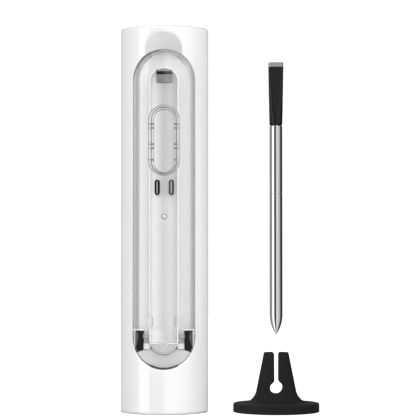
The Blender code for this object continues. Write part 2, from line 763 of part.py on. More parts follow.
def make_probe_insides(finishes, pivot):
    middle = (PROBE_X, 0)
    sleeve_span = (130 * MM, 140 * MM)
    sleeve_radius = HANDLE_BORE - GAP
    sleeve = turned([(sleeve_radius, z) for z in sleeve_span], middle, 16)
    made = add("insulating_sleeve", sleeve, finishes["tray"], pivot)
    bore = [(1.25 * MM, sleeve_span[0] - PAST), (1.25 * MM, sleeve_span[1] + PAST)]
    cut(made, turned(bore, middle, 16))

    strips = (
        ("probe_board", 0.25, 68, 150, "board"),
        ("antenna_strip", 0.2, 150.3, 157.4, "contact"),
    )
    for name, half_thick, low, high, finish in strips:
        x_span = (PROBE_X - 0.9 * MM, PROBE_X + 0.9 * MM)
        y_span = (-half_thick * MM, half_thick * MM)
        add(name, box(x_span, y_span, (low * MM, high * MM)), finishes[finish], pivot)
    cell = [(1.6 * MM, 50 * MM), (1.9 * MM, 50.4 * MM), (1.9 * MM, 67 * MM), (1.6 * MM, 67.4 * MM)]
    add("probe_cell", turned(cell, middle, 16), finishes["cell"], pivot)
    beads = (("tip_sensor", 48.2 * MM, 1.2 * MM), ("ambient_sensor", 158.5 * MM, 0.7 * MM))
    for name, z, radius in beads:
        bead = ellipsoid((PROBE_X, 0, z), (radius, radius, radius), 10)
        add(name, bead, finishes["black"], pivot)


# Holder


def holder_opening():
    """The slot down from the fin's top into the round hole, as (x, z) points about x = 0."""
    lead_in = 0.9 * MM
    left = [(-SLOT_HALF_WIDTH - lead_in, HOLDER_HEIGHT + PAST)]
    for i in range(5):
        turn = math.pi / 2 * i / 4
        x = -SLOT_HALF_WIDTH - lead_in * (1 - math.sin(turn))
        left.append((x, HOLDER_HEIGHT - lead_in * (1 - math.cos(turn))))
    half_gap = math.asin(SLOT_HALF_WIDTH / HOLE_RADIUS)
    hole = []
    for i in range(21):
        turn = math.pi / 2 + half_gap + (2 * math.pi - 2 * half_gap) * i / 20
        hole.append((HOLE_RADIUS * math.cos(turn), HOLE_Z + HOLE_RADIUS * math.sin(turn)))
    right = [(-x, z) for x, z in reversed(left)]
    return [*left, *hole, *right]


def fin_level(z):
    """Half widths along X and Y of the holder's fin, with its fillet onto the disc."""
    fillet = 5.5 * MM
    short = max(DISC_HIGH + fillet - z, 0)
    spread = fillet - math.sqrt(fillet**2 - short**2)
    below = HOLDER_HEIGHT - z
    return (5.8 * MM + 0.2 * below + spread, 4 * MM + 0.11 * below + spread)


def make_holder(finish, pivot):
    rings = []
    for inset, z in ((0.5, 0), (0, 0.5 * MM), (0, DISC_HIGH - 0.6 * MM), (0.6, DISC_HIGH)):
        radius = DISC_RADIUS - inset * MM
        rings.append([(x, y, z) for x, y in circle(radius, steps=40)])
    unit = circle(1, steps=40)
    for rise in (0.1, 0.5, 1.3, 2.8, 5.5, 12, 17, 23.4):
        z = DISC_HIGH + rise * MM
        half_x, half_y = fin_level(z)
        rings.append([(x * half_x, y * half_y, z) for x, y in unit])
    half_x, half_y = fin_level(HOLDER_HEIGHT)
    edge = 0.35 * MM
    rings.append([(x * (half_x - edge), y * (half_y - edge), HOLDER_HEIGHT) for x, y in unit])
    placed = [[(x + HOLDER_X, y + HOLDER_Y, z) for x, y, z in ring] for ring in rings]
    holder = add("silicone_holder", loft(placed), finish, pivot)
    through = (HOLDER_Y - DISC_RADIUS, HOLDER_Y + DISC_RADIUS)
    cut(holder, prism_y(moved(holder_opening(), HOLDER_X, 0), *through))


# Assembly


def main():
    for old in list(bpy.data.objects):
        bpy.data.objects.remove(old)
    finishes = make_materials()
    steel = finishes["steel"]

    make_front_shell(finishes["case"])
    make_back_cover(finishes["case"])
    make_case_screws(steel)
    make_magnets(steel)
    make_probe_tray(finishes["tray"])
    make_recess_trim(finishes["tray"])

    lid_pivot = add_pivot("lid_pivot", (0, HINGE_Y, HINGE_Z))
    make_clear_lid(finishes["clear"], lid_pivot)
    make_guide_ring(finishes["clear"], lid_pivot)
    make_hinge(steel, finishes["black"])

    contact_pivots = []
    for side, x in (("left", -CONTACT_X), ("right", CONTACT_X)):
        contact_pivots.append(add_pivot(f"contact_pivot_{side}", (x, -1.2 * MM, CONTACT_Z)))
    make_side_contacts(finishes["contact"], steel, contact_pivots)
    make_contact_carrier(finishes["black"])
    end_pivot = add_pivot("end_contact_pivot", (0, -1.8 * MM, END_CONTACT_Z))
    make_end_contact(finishes["contact"], steel, end_pivot)
    make_light(finishes["clear"], finishes["tray"])
    make_board(finishes)

    make_battery(finishes)
    door_middle = (0, DOCK_HALF_DEPTH, (BAY_LOW + BAY_HIGH) / 2)
    make_battery_door(finishes["case"], add_pivot("door_pivot", door_middle))

    make_probe(finishes, add_pivot("probe_pivot", (PROBE_X, 0, TIP_Z)))
    make_holder(finishes["silicone"], add_pivot("holder_pivot", (HOLDER_X, HOLDER_Y, 0)))


main()
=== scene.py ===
"""Looks of the meat thermometer: its dock with a clear lid, its probe and its silicone holder.

Metres, +Z up, in the CAD model's frame: the origin is the middle of the dock's flat base and -Y is
its crowned front. Each visible CAD node whose surface should be smoother has a finer piece here.
"""

import json
import math

import bmesh
import bpy
import numpy as np
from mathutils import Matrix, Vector

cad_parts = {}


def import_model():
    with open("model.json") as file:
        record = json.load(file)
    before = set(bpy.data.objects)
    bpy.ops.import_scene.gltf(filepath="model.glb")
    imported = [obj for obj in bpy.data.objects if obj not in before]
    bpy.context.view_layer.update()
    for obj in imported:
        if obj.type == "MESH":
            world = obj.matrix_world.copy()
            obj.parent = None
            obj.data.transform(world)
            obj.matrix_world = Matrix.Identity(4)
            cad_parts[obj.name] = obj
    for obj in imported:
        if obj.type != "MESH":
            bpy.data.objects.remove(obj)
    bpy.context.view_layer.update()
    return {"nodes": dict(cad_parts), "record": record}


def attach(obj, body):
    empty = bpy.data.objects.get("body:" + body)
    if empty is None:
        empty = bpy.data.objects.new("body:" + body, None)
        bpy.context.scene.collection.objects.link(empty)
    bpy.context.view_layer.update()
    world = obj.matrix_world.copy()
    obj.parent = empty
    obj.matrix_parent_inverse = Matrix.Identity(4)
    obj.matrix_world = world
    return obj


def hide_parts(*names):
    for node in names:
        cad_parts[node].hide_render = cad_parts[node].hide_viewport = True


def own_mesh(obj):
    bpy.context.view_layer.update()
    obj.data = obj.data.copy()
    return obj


MM = 0.001
GAP = 0.3 * MM
ALONE = ("probe", "holder")  # bodies that stand apart from the dock
PAST = 4 * MM
AHEAD = -25 * MM  # in front of everything
BEHIND = 25 * MM

# Dock, as in the CAD model
HALF_WIDTH = 20.5 * MM
HEIGHT = 180 * MM
HALF_DEPTH = 15 * MM
WIDTH_POWER = 2.3
DEPTH_POWER = 1.2
WALL = 1.8 * MM
EDGE_ROUND = 1.2 * MM
SHELL_BACK = 12 * MM
SCREW_X = 15.2 * MM
SCREW_Z = (10.5 * MM, 169.5 * MM)
RECESS_RADIUS = 14.5 * MM
RECESS_LOW = 21 * MM
RECESS_HIGH = 169 * MM
SCOOP_X = 8.8 * MM
SCOOP_Z = 9.1 * MM
SCOOP_MIDDLE = 168 * MM
SCOOP_POWER = 2.4
FLOOR_Y = -4.6 * MM
TRAY_BACK = -2.4 * MM
CHANNEL_RADIUS = 6.1 * MM
CHANNEL_Y = -10.5 * MM
HANDLE_BED_Y = -9.3 * MM
HANDLE_BED_LOW = 100.5 * MM
ISLAND_RADIUS = 6.6 * MM
SPINE_LOW = 34.4 * MM
SPINE_HIGH = 154.1 * MM
SEAT_STEPS = 49  # points along the ledge at the channel's closed end
HAND_SIDES = (("left", -1), ("right", 1))
CONTACTS = (("left", -3.25 * MM), ("right", 3.25 * MM))
SPRING_END = 1.2 * MM  # the board's face, where the contacts' springs are fixed
LID_RADIUS = RECESS_RADIUS - GAP
LID_LOW = 38.8 * MM
LID_SPINE_HIGH = RECESS_HIGH - RECESS_RADIUS
LID_BACK = -5.1 * MM
LID_SKIN = 1.8 * MM
LID_LIP = 0.5 * MM
HINGE_Z = 36 * MM
HINGE = (-9 * MM, HINGE_Z)
ARM_INNER = 6.9 * MM
ARM_OUTER = 9.3 * MM

# Probe and holder, as in the CAD model
PROBE_X = 52.3 * MM
TIP_Z = 36.4 * MM
STEM_TOP = 134.3 * MM
STEM_RADIUS = 3 * MM
OGIVE_LENGTH = 9.1 * MM
HANDLE_LOW = 135.2 * MM
HANDLE_HIGH = 161.7 * MM
PROBE_HIGH = 164 * MM
HOLDER_X = 52.5 * MM
HOLDER_Y = 5 * MM
HOLDER_TOP = 28 * MM


# Outlines


def crown_points(steps=400):
    """Closely spaced (x, y) points of the dock's front, from left to right."""
    points = []
    for i in range(steps + 1):
        turn = math.pi * (i / steps - 0.5)
        side = math.copysign(abs(math.sin(turn)) ** (2 / WIDTH_POWER), turn)
        ahead = abs(math.cos(turn)) ** (2 / DEPTH_POWER)
        points.append((HALF_WIDTH * side, -HALF_DEPTH * ahead))
    return np.array(points)


def mm(*values):
    """Lengths in millimetres, as a tuple in metres."""
    return tuple(value * MM for value in values)


class Profile:
    """The dock's outline from above: left flank, crowned front and right flank, by arc length."""

    def __init__(self):
        crown = crown_points()
        left = [(-HALF_WIDTH, SHELL_BACK), (-HALF_WIDTH, SHELL_BACK / 2)]
        right = [(HALF_WIDTH, SHELL_BACK / 2), (HALF_WIDTH, SHELL_BACK)]
        self.points = np.vstack([left, crown, right])
        steps = np.linalg.norm(np.diff(self.points, axis=0), axis=1)
        self.u = np.concatenate([[0], np.cumsum(steps)])
        self.u -= self.u[-1] / 2
        self.half = self.u[-1]

    def at(self, u, inset=0.0):
        """(x, y) at arc length u from the middle, moved inwards by inset."""
        x = np.interp(u, self.u, self.points[:, 0])
        y = np.interp(u, self.u, self.points[:, 1])
        if inset:
            step = 0.25 * MM
            a = [np.interp(u - step, self.u, self.points[:, k]) for k in (0, 1)]
            b = [np.interp(u + step, self.u, self.points[:, k]) for k in (0, 1)]
            along = np.array([b[0] - a[0], b[1] - a[1]])
            along /= max(np.linalg.norm(along), 1e-12)
            x, y = x - along[1] * inset, y + along[0] * inset
        return float(x), float(y)

    def u_of(self, x):
        """Arc length of the front's point at this x."""
        return float(np.interp(x, self.points[2:-2, 0], self.u[2:-2]))


PROFILE = Profile()
CROWN = crown_points()


def crown_y(x):
    return float(np.interp(x, CROWN[:, 0], CROWN[:, 1]))


def inner_crown(inset):
    """The front's curve moved inwards, as arrays of x and y."""
    along = np.gradient(CROWN, axis=0)
    along /= np.linalg.norm(along, axis=1)[:, None]
    return CROWN[:, 0] - along[:, 1] * inset, CROWN[:, 1] + along[:, 0] * inset


def stadium(radius, low, high, steps=48):
    """An upright slot with round ends, as (x, z) points."""
    points = []
    for middle, start in ((high - radius, 0), (low + radius, math.pi)):
        for i in range(steps + 1):
            turn = start + math.pi * (i + 0.37) / (steps + 0.74)
            points.append((radius * math.cos(turn), middle + radius * math.sin(turn)))
    return points


def circle(radius, middle=(0.0, 0.0), steps=48):
    turns = [2 * math.pi * i / steps for i in range(steps)]
    return [(middle[0] + radius * math.cos(t), middle[1] + radius * math.sin(t)) for t in turns]


def rectangle(left, right, low, high):
    return [(left, low), (right, low), (right, high), (left, high)]


def rounded(left, right, low, high, corner, steps=6):
    """A rectangle with round corners."""
    points = []
    quarters = ((right, high, 0), (left, high, 90), (left, low, 180), (right, low, 270))
    for x, z, start in quarters:
        middle_x = x - math.copysign(corner, x - (left + right) / 2)
        middle_z = z - math.copysign(corner, z - (low + high) / 2)
        for i in range(steps + 1):
            turn = math.radians(start + 90 * i / steps)
            points.append((middle_x + corner * math.cos(turn), middle_z + corner * math.sin(turn)))
    return points


def offset(points, amount):
    """A closed outline moved outwards by amount. It runs anticlockwise."""
    made = []
    for i, (x, z) in enumerate(points):
        before, after = points[i - 1], points[(i + 1) % len(points)]
        a = Vector((x - before[0], z - before[1])).normalized()
        b = Vector((after[0] - x, after[1] - z)).normalized()
        normal = Vector((a.y + b.y, -a.x - b.x))
        scale = amount / max(normal.length / 2, 0.35)
        normal.normalize()
        made.append((x + normal.x * scale, z + normal.y * scale))
    return made


def curved(start, pull, end, t):
    """A point at share t of the curve from start to end that is pulled towards a third point."""
    shares = ((1 - t) ** 2, 2 * t * (1 - t), t * t)
    return tuple(sum(s * p for s, p in zip(shares, ps)) for ps in zip(start, pull, end))


def arc(middle, radius, start, sweep, steps, first=0):
    """Points on a circle, from the angle start on through sweep, in degrees."""
    turns = [math.radians(start + sweep * i / steps) for i in range(first, steps + 1)]
    return [(middle[0] + radius * math.cos(t), middle[1] + radius * math.sin(t)) for t in turns]


# Meshes


def skin(rings, closed_ends=True, wrap=True):
    """A mesh through rings of 3-D points."""
    mesh = bmesh.new()
    rows = [[mesh.verts.new(point) for point in ring] for ring in rings]
    for low, high in zip(rows, rows[1:]):
        count = len(low) if wrap else len(low) - 1
        for i in range(count):
            after = (i + 1) % len(low)
            mesh.faces.new((low[i], low[after], high[after], high[i]))
    if closed_ends:
        mesh.faces.new(rows[0])
        mesh.faces.new(rows[-1])
    bmesh.ops.recalc_face_normals(mesh, faces=mesh.faces)
    return mesh


def prism_y(outline, front, back, edge=0.0, back_edge=0.0):
    """An outline in (x, z) run from front to back, with its front and back edges rounded."""
    rings = []
    for inset, depth in edge_steps(edge):
        rings.append([(x, front + depth, z) for x, z in offset(outline, -inset)])
    for inset, depth in reversed(edge_steps(back_edge)):
        rings.append([(x, back - depth, z) for x, z in offset(outline, -inset)])
    return skin(rings)


def prism_x(outline, left, right, edge=0.0):
    rings = []
    for inset, depth in edge_steps(edge):
        rings.append([(left + depth, y, z) for y, z in offset(outline, -inset)])
    for inset, depth in reversed(edge_steps(edge)):
        rings.append([(right - depth, y, z) for y, z in offset(outline, -inset)])
    return skin(rings)


def prism_z(outline, low, high):
    return skin([[(x, y, z) for x, y in outline] for z in (low, high)])


def edge_steps(radius, steps=4):
    """(inset, depth) pairs of a rounded edge."""
    if not radius:
        return [(0.0, 0.0)]
    turns = [math.pi / 2 * i / steps for i in range(steps + 1)]
    return [(radius * (1 - math.sin(t)), radius * (1 - math.cos(t))) for t in turns]


def turned(profile, middle=(0.0, 0.0), steps=96):
    """A solid turned about a vertical axis, from (radius, z) points that run from low to high."""
    return skin([[(*point, z) for point in circle(r, middle, steps)] for r, z in profile])


def box(x_range, y_range, z_range):
    return prism_z(rectangle(*x_range, *y_range), *z_range)


def ball(middle, radii, steps=64):
    mesh = bmesh.new()
    bmesh.ops.create_uvsphere(mesh, u_segments=steps, v_segments=steps // 2, radius=1)
    bmesh.ops.scale(mesh, verts=mesh.verts, vec=radii)
    bmesh.ops.translate(mesh, verts=mesh.verts, vec=middle)
    return mesh


def temporary(mesh):
    data = bpy.data.meshes.new("temporary")
    mesh.to_mesh(data)
    mesh.free()
    made = bpy.data.objects.new("temporary", data)
    bpy.context.scene.collection.objects.link(made)
    return made


def combined(base, operation, others):
    """base with the other meshes joined to it or cut from it, one after another."""
    objects = [temporary(base), *[temporary(other) for other in others]]
    for other in objects[1:]:
        boolean = objects[0].modifiers.new("boolean", "BOOLEAN")
        boolean.operation = operation
        boolean.solver = "EXACT"
        boolean.object = other
    evaluated = objects[0].evaluated_get(bpy.context.evaluated_depsgraph_get())
    data = bpy.data.meshes.new_from_object(evaluated)
    mesh = bmesh.new()
    mesh.from_mesh(data)
    bpy.data.meshes.remove(data)
    for made in objects:
        old = made.data
        bpy.data.objects.remove(made)
        bpy.data.meshes.remove(old)
    bmesh.ops.dissolve_degenerate(mesh, dist=1e-6, edges=mesh.edges)
    return mesh


def cut(base, *others):
    return combined(base, "DIFFERENCE", others)


def join(base, *others):
    return combined(base, "UNION", others)


def piece(name, mesh, finish, body, nodes=(), angle=32, clear=False):
    """A piece of the object that rides on a CAD body and stands for CAD nodes. finish has the keys
    of its finishes, for the material indexes of its faces. A clear piece casts no shadow."""
    data = bpy.data.meshes.new(name)
    mesh.to_mesh(data)
    mesh.free()
    for key in finish.split():
        data.materials.append(FINISHES[key])
    data.shade_smooth()
    data.set_sharp_from_angle(angle=math.radians(28 if clear else angle))
    made = bpy.data.objects.new(name, data)
    bpy.context.scene.collection.objects.link(made)
    if clear:
        made.visible_shadow = made.visible_diffuse = False
    else:
        made.modifiers.new("normals", "WEIGHTED_NORMAL").keep_sharp = True
    made.visible_glossy = body in ALONE  # the stem mirrors the studio, not the dock beside it
    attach(made, body)
    if nodes:
        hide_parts(*nodes)
    return made


# Materials


def fill(tree, made, inputs):
    """Sets a node's inputs, each to a value or to another node's output."""
    for key, value in inputs.items():
        if isinstance(value, bpy.types.NodeSocket):
            tree.links.new(value, made.inputs[key])
        else:
            made.inputs[key].default_value = value


def node(tree, kind, output, inputs=None, **settings):
    """One output of a new shader node."""
    made = tree.nodes.new(f"ShaderNode{kind}")
    for key, value in settings.items():
        setattr(made, key, value)
    fill(tree, made, inputs or {})
    return made.outputs[output]


def new_material(name):
    made = bpy.data.materials.new(name)
    made.use_nodes = True
    return made, made.node_tree, made.node_tree.nodes["Principled BSDF"]


def noise(tree, scale, detail=3.0, stretch=(1, 1, 1), rough=0.5):
    """Noise over the object's own coordinates, stretched along an axis by a small factor."""
    place = node(tree, "TexCoord", "Object")
    place = node(tree, "Mapping", "Vector", {"Vector": place, "Scale": stretch})
    return node(tree, "TexNoise", "Fac",
                {"Vector": place, "Scale": scale, "Detail": detail, "Roughness": rough})


def mapped(tree, value, low, high, from_low=0.3, from_high=0.7):
    return node(tree, "MapRange", "Result",
                {"Value": value, "From Min": from_low, "From Max": from_high,
                 "To Min": low, "To Max": high})


def tinted(tree, value, first, second, low=0.3, high=0.7):
    fac = node(tree, "ValToRGB", "Color", {"Fac": value})
    for stop, place, colour in zip(fac.node.color_ramp.elements, (low, high), (first, second)):
        stop.position = place
        stop.color = (*colour, 1)
    return fac


def bumped(tree, shader, value, strength, distance, edge=0.0):
    """Bump, over edges that are softened by the radius given as edge."""
    inputs = {"Height": value, "Strength": strength, "Distance": distance}
    if edge:
        inputs["Normal"] = node(tree, "Bevel", "Normal", {"Radius": edge}, samples=4)
    fill(tree, shader, {"Normal": node(tree, "Bump", "Normal", inputs)})


def axis_of(tree, direction, normal=False):
    """X, Y or Z of the object's own coordinates, or of the surface's normal."""
    source = ("NewGeometry", "Normal") if normal else ("TexCoord", "Object")
    return node(tree, "SeparateXYZ", direction, {"Vector": node(tree, *source)})


def maths(tree, operation, first, second=0.0):
    return node(tree, "Math", "Value", {0: first, 1: second}, operation=operation)


def scaled(tree, colour, level):
    return node(tree, "VectorMath", "Vector", {0: colour, "Scale": level}, operation="SCALE")


def front_painted_shade(tree):
    """Painted shade: greyer where the surface faces upwards, as on the rounded top end, and down
    the finger scoop, most at its lower end by the recess.
    """
    shares = []
    for axis, middle, radius in (("X", 0, SCOOP_X), ("Z", SCOOP_MIDDLE, SCOOP_Z)):
        far = 1.5 * radius
        reach = mapped(tree, axis_of(tree, axis), -1.5, 1.5, middle - far, middle + far)
        shares.append(maths(tree, "POWER", maths(tree, "ABSOLUTE", reach), SCOOP_POWER))
    inside = mapped(tree, maths(tree, "ADD", *shares), 1.0, 0.0, 0.82, 1.02)
    deeper = mapped(tree, axis_of(tree, "Z"), 0.28, 0.08, 170.5 * MM, 176 * MM)
    kept = maths(tree, "SUBTRACT", 1.0, maths(tree, "MULTIPLY", inside, deeper))
    ends = mapped(tree, axis_of(tree, "Z", True), 1.0, 0.84, 0.25, 0.75)
    return maths(tree, "MULTIPLY", kept, ends)


def tray_painted_light(tree):
    """Painted light: paler towards the top, which is the deepest in shade."""
    return mapped(tree, axis_of(tree, "Z"), 1.0, 1.18, 150 * MM, 164 * MM)


def channel_painted_light_and_shade(tree):
    """Painted light and shade: greyer under the handle, paler on the side that is turned to +X."""
    facing = mapped(tree, axis_of(tree, "X", True), 0.0, 1.0, 0.1, 0.75)
    level = mapped(tree, axis_of(tree, "Z"), 0.98, 0.85, 95 * MM, 106 * MM)
    return node(tree, "Mix", 0, {0: facing, 2: level, 3: 1.34})


def band_painted_shade(tree):
    """Painted shade: greyer towards +X across each side wall of the lid."""
    x = axis_of(tree, "X")
    left = mapped(tree, x, 1.0, 0.4, -14.1 * MM, -12.7 * MM)
    right = mapped(tree, x, 1.0, 0.6, 11.9 * MM, 13.2 * MM)
    again = mapped(tree, x, 1.0, 2.5, -12 * MM, 11.9 * MM)
    return maths(tree, "MULTIPLY", maths(tree, "MULTIPLY", left, right), again)


def rim_painted_light(tree):
    """Painted light: paler on the +X side."""
    return mapped(tree, axis_of(tree, "X"), 1.0, 2.1, -2 * MM, 2 * MM)


def moulded(name, colour, roughness, spread=0.05, coat=0.0, grain=0.0, edge=0.2 * MM, tone=0.02,
            shine=0.5, shade=None):
    """Moulded plastic: a faint cloudiness in its tone, uneven gloss and a fine surface grain."""
    made, tree, shader = new_material(name)
    if not isinstance(colour, tuple):
        colour = (colour,) * 3
    darker = tuple(max(c * (1 - tone), 0) for c in colour)
    tint = tinted(tree, noise(tree, 38, 4), darker, colour)
    # shade paints light and shade into the colour, by place or by the way the surface faces.
    if shade:
        tint = scaled(tree, tint, shade(tree))
    fill(tree, shader, {
        "Base Color": tint,
        "Roughness": mapped(tree, noise(tree, 900, 2), roughness - spread, roughness + spread),
        "IOR": 1.49,
        "Specular IOR Level": shine,
        "Coat Weight": coat,
        "Coat Roughness": 0.03,
    })
    bumped(tree, shader, noise(tree, 2600, 2), 0.15 + grain, 0.02 * MM, edge)
    return made


def clear_plastic(name, rim=0.7, low=0.12, high=0.8):
    """Clear moulded acrylic with faint moulding clouds. Its colour darkens to the grey rim where it
    is seen edge on: painted shade.
    """
    made, tree, shader = new_material(name)
    # Painted shade: the colour goes to rim where the surface is seen edge on.
    turn = node(tree, "LayerWeight", "Facing", {"Blend": 0.5})
    facing = tinted(tree, turn, (0.99,) * 3, (rim,) * 3, low, high)
    cloud = tinted(tree, noise(tree, 60, 2, (1, 1, 0.25)), (0.985,) * 3, (1, 1, 1))
    tint = node(tree, "Mix", 2, {0: 1.0, 6: facing, 7: cloud}, data_type="RGBA",
                blend_type="MULTIPLY")
    fill(tree, shader, {
        "Base Color": tint,
        "Roughness": mapped(tree, noise(tree, 300), 0.0, 0.01),
        "IOR": 1.49,
        "Transmission Weight": 1.0,
    })
    return made


def painted_shade_film(name, grey, alpha, shade=None):
    """Painted shade: a see-through grey sheet on walls of clear plastic that are seen edge on, for
    how dark they look there.
    """
    made = moulded(name, grey, 0.12, 0.03, tone=0.03, shade=shade)
    made.node_tree.nodes["Principled BSDF"].inputs["Alpha"].default_value = alpha
    return made


def polished_steel(name):
    """Mirror-polished tube with faint hairlines along its length."""
    made, tree, shader = new_material(name)
    hair = noise(tree, 2200, 3, (1, 1, 0.02))
    fill(tree, shader, {
        "Base Color": tinted(tree, hair, (0.62, 0.615, 0.61), (0.68, 0.675, 0.67)),
        "Roughness": mapped(tree, hair, 0.03, 0.06),
        "Metallic": 1.0,
    })
    bumped(tree, shader, hair, 0.02, 0.004 * MM)
    return made


def plated_metal(name, dark, light, low, high, grain, scale=1500, stretch=(1, 1, 1)):
    """Metal with a fine speckle in its colour, gloss and surface."""
    made, tree, shader = new_material(name)
    speck = noise(tree, scale, 3, stretch)
    fill(tree, shader, {
        "Base Color": tinted(tree, speck, dark, light),
        "Roughness": mapped(tree, speck, low, high),
        "Metallic": 1.0,
    })
    bumped(tree, shader, speck, grain, 0.02 * MM, 0.1 * MM)
    return made


def rubbery(name):
    """Matte silicone rubber: velvety, with fine dust-like specks and a soft sheen."""
    made, tree, shader = new_material(name)
    speck = noise(tree, 1400, 5, rough=0.7)
    dark, light = (0.005, 0.005, 0.0053), (0.012, 0.012, 0.0125)
    fill(tree, shader, {
        "Base Color": tinted(tree, speck, dark, light, 0.35, 0.75),
        "Roughness": mapped(tree, noise(tree, 320, 3), 0.55, 0.75),
        "IOR": 1.41,
        "Specular IOR Level": 0.3,
        "Sheen Weight": 0.02,
        "Sheen Roughness": 0.5,
    })
    bumped(tree, shader, speck, 0.35, 0.04 * MM, 0.25 * MM)
    return made


def circuit_board(name):
    """Green solder mask with paler tracks and pads in a fine grid."""
    made, tree, shader = new_material(name)
    place = node(tree, "TexCoord", "Object")
    place = node(tree, "Mapping", "Vector", {"Vector": place, "Rotation": (math.pi / 2, 0, 0)})
    tracks = node(tree, "TexBrick", "Color", {
        "Vector": place,
        "Scale": 260,
        "Color1": (0.012, 0.10, 0.035, 1),
        "Color2": (0.016, 0.13, 0.045, 1),
        "Mortar": (0.03, 0.2, 0.07, 1),
        "Mortar Size": 0.04,
    })
    fill(tree, shader, {
        "Base Color": tracks,
        "Roughness": mapped(tree, noise(tree, 500), 0.3, 0.45),
    })
    bumped(tree, shader, tracks.node.outputs["Fac"], 0.2, 0.03 * MM)
    return made


FINISHES = {}


def make_materials():
    gloss = {"spread": 0.02, "coat": 1.0, "edge": 0.15 * MM, "tone": 0.01}
    FINISHES.update({
        "case": moulded("case_white", 0.87, 0.08, **gloss),
        "front": moulded("case_front_white", 0.87, 0.08, **gloss, shade=front_painted_shade),
        "tray": moulded("tray_white", 0.80, 0.28, grain=0.05, shade=tray_painted_light),
        # Painted shade: the channel's white is darker than the tray's, with painted light and shade
        # on top of it.
        "channel": moulded("tray_channel_white", 0.72, 0.3, grain=0.05, shade=channel_painted_light_and_shade),
        # seam and gap: painted shadow in the gap round the lid.
        "seam": moulded("seam_painted_shadow", 0.42, 0.5, tone=0.05, shine=0.2),
        "gap": moulded("gap_painted_shadow", 0.10, 0.5, tone=0.05, shine=0.2),
        # Painted shade: the tip seat is grey, darker than the tray's white.
        "seat": moulded("tray_seat_painted_shade", 0.55, 0.35, grain=0.05),
        # Painted highlight: the lip finish is paler and glossier than the tray's white; it lines
        # the channel's crests, the seat's ledge and the lid's lower end.
        "lip": moulded("tray_lip_painted_highlight", 0.93, 0.1, 0.03, 1.0, tone=0.01),
        "trim": moulded("trim_grey", 0.66, 0.38, grain=0.05),
        # Painted light: the slope finish is paler than the black plastic, for the hinge blocks'
        # sloping faces.
        "slope": moulded("slope_painted_light", 0.13, 0.4, tone=0.2, shine=0.3),
        # Black plastic made darker and less glossy than the black finish: partly painted shade in
        # the contact slots.
        "pit": moulded("pit_black_painted_shade", (0.0025, 0.0025, 0.003), 0.5, tone=0.3, shine=0.08),
        "frosted": moulded("frosted_light_pipe", (0.80, 0.80, 0.79), 0.3, tone=0.03),
        "black": moulded("black_plastic", (0.006, 0.006, 0.0065), 0.35, 0.06, grain=0.2, tone=0.3,
                         shine=0.35),
        "ceramic": moulded("black_ceramic", (0.007, 0.007, 0.0075), 0.32, grain=0.25, tone=0.3,
                           shine=0.3),
        "clear": clear_plastic("clear_acrylic"),
        # Painted shade: the ring's clear finish goes almost black edge on, along its edges and
        # grooves.
        "ring": clear_plastic("clear_ring", 0.04, 0.15, 0.5),
        # rim, faint and band: painted shade sheets on the lid's side walls, top and arms; the rim
        # is paler on +X, painted light.
        "rim": painted_shade_film("clear_rim_painted_light_and_shade", 0.4, 0.2, rim_painted_light),
        "faint": painted_shade_film("clear_faint", 0.85, 0.12),
        "band": painted_shade_film("clear_band_painted_shade", 0.55, 0.4, band_painted_shade),
        "stem": polished_steel("polished_stem"),
        "steel": plated_metal("plated_steel", (0.5, 0.5, 0.49), (0.66, 0.65, 0.64), 0.2, 0.34, 0.1),
        "contact": plated_metal("contact_nickel", (0.62, 0.61, 0.6), (0.8, 0.79, 0.775), 0.16, 0.3,
                                0.1),
        "cap": plated_metal("blasted_cap", (0.42, 0.42, 0.415), (0.54, 0.54, 0.53), 0.42, 0.6, 0.5,
                            3000),
        "cell": plated_metal("cell_can", (0.16, 0.17, 0.19), (0.24, 0.25, 0.28), 0.3, 0.42, 0.1,
                             400, (1, 1, 0.05)),
        "silicone": rubbery("black_silicone"),
        "board": circuit_board("green_board"),
    })


# Dock case


def scoop_depth(x, z):
    """How far the finger scoop dips behind the front, with its rim softened."""
    share = abs(x / SCOOP_X) ** SCOOP_POWER + abs((z - SCOOP_MIDDLE) / SCOOP_Z) ** SCOOP_POWER
    raw = (2.3 * max(1 - share, 0) ** 0.95 - 1.2 * max(share - 1, 0)) * MM
    soft = 0.16 * MM
    return soft * math.log1p(math.exp(min(raw / soft, 60))) if raw / soft > -9 else 0.0


def front_point(u, z, inset=0.0):
    """A point of the case's outside at arc length u, with the scoop pressed into it."""
    x, y = PROFILE.at(u, inset)
    return (x, y + (scoop_depth(x, z) if z > 150 * MM and abs(x) < 14 * MM else 0.0), z)


def spread(count, power=1.0):
    return [(i / count) ** power for i in range(count + 1)]


def recess_stations():
    """Pairs of an (x, z) direction about the recess: its outline's point, normal and outer mate."""
    half, low, high = PROFILE.half, EDGE_ROUND, HEIGHT - EDGE_ROUND
    middle_high, middle_low = RECESS_HIGH - RECESS_RADIUS, RECESS_LOW + RECESS_RADIUS
    stations = []

    def end(middle, upwards, far):
        corner = 38.0
        steps = 120
        for i in range(steps + 1):
            degrees = 180 * i / steps
            turn = math.radians(degrees) * upwards
            normal = (math.cos(turn), math.sin(turn))
            if degrees < corner:
                mate = (half, middle + (far - middle) * degrees / corner)
            elif degrees > 180 - corner:
                mate = (-half, middle + (far - middle) * (180 - degrees) / corner)
            else:
                share = (degrees - corner) / (180 - 2 * corner)
                mate = (half * (1 - 2 * share), far)
            yield middle, normal, mate

    stations.extend(end(middle_high, 1, high))
    side = 60
    for i in range(1, side):
        z = middle_high + (middle_low - middle_high) * i / side
        stations.append((z, (-1.0, 0.0), (-half, z)))
    stations.extend(list(end(middle_low, -1, low))[::-1])
    for i in range(1, side):
        z = middle_low + (middle_high - middle_low) * i / side
        stations.append((z, (1.0, 0.0), (half, z)))
    return stations


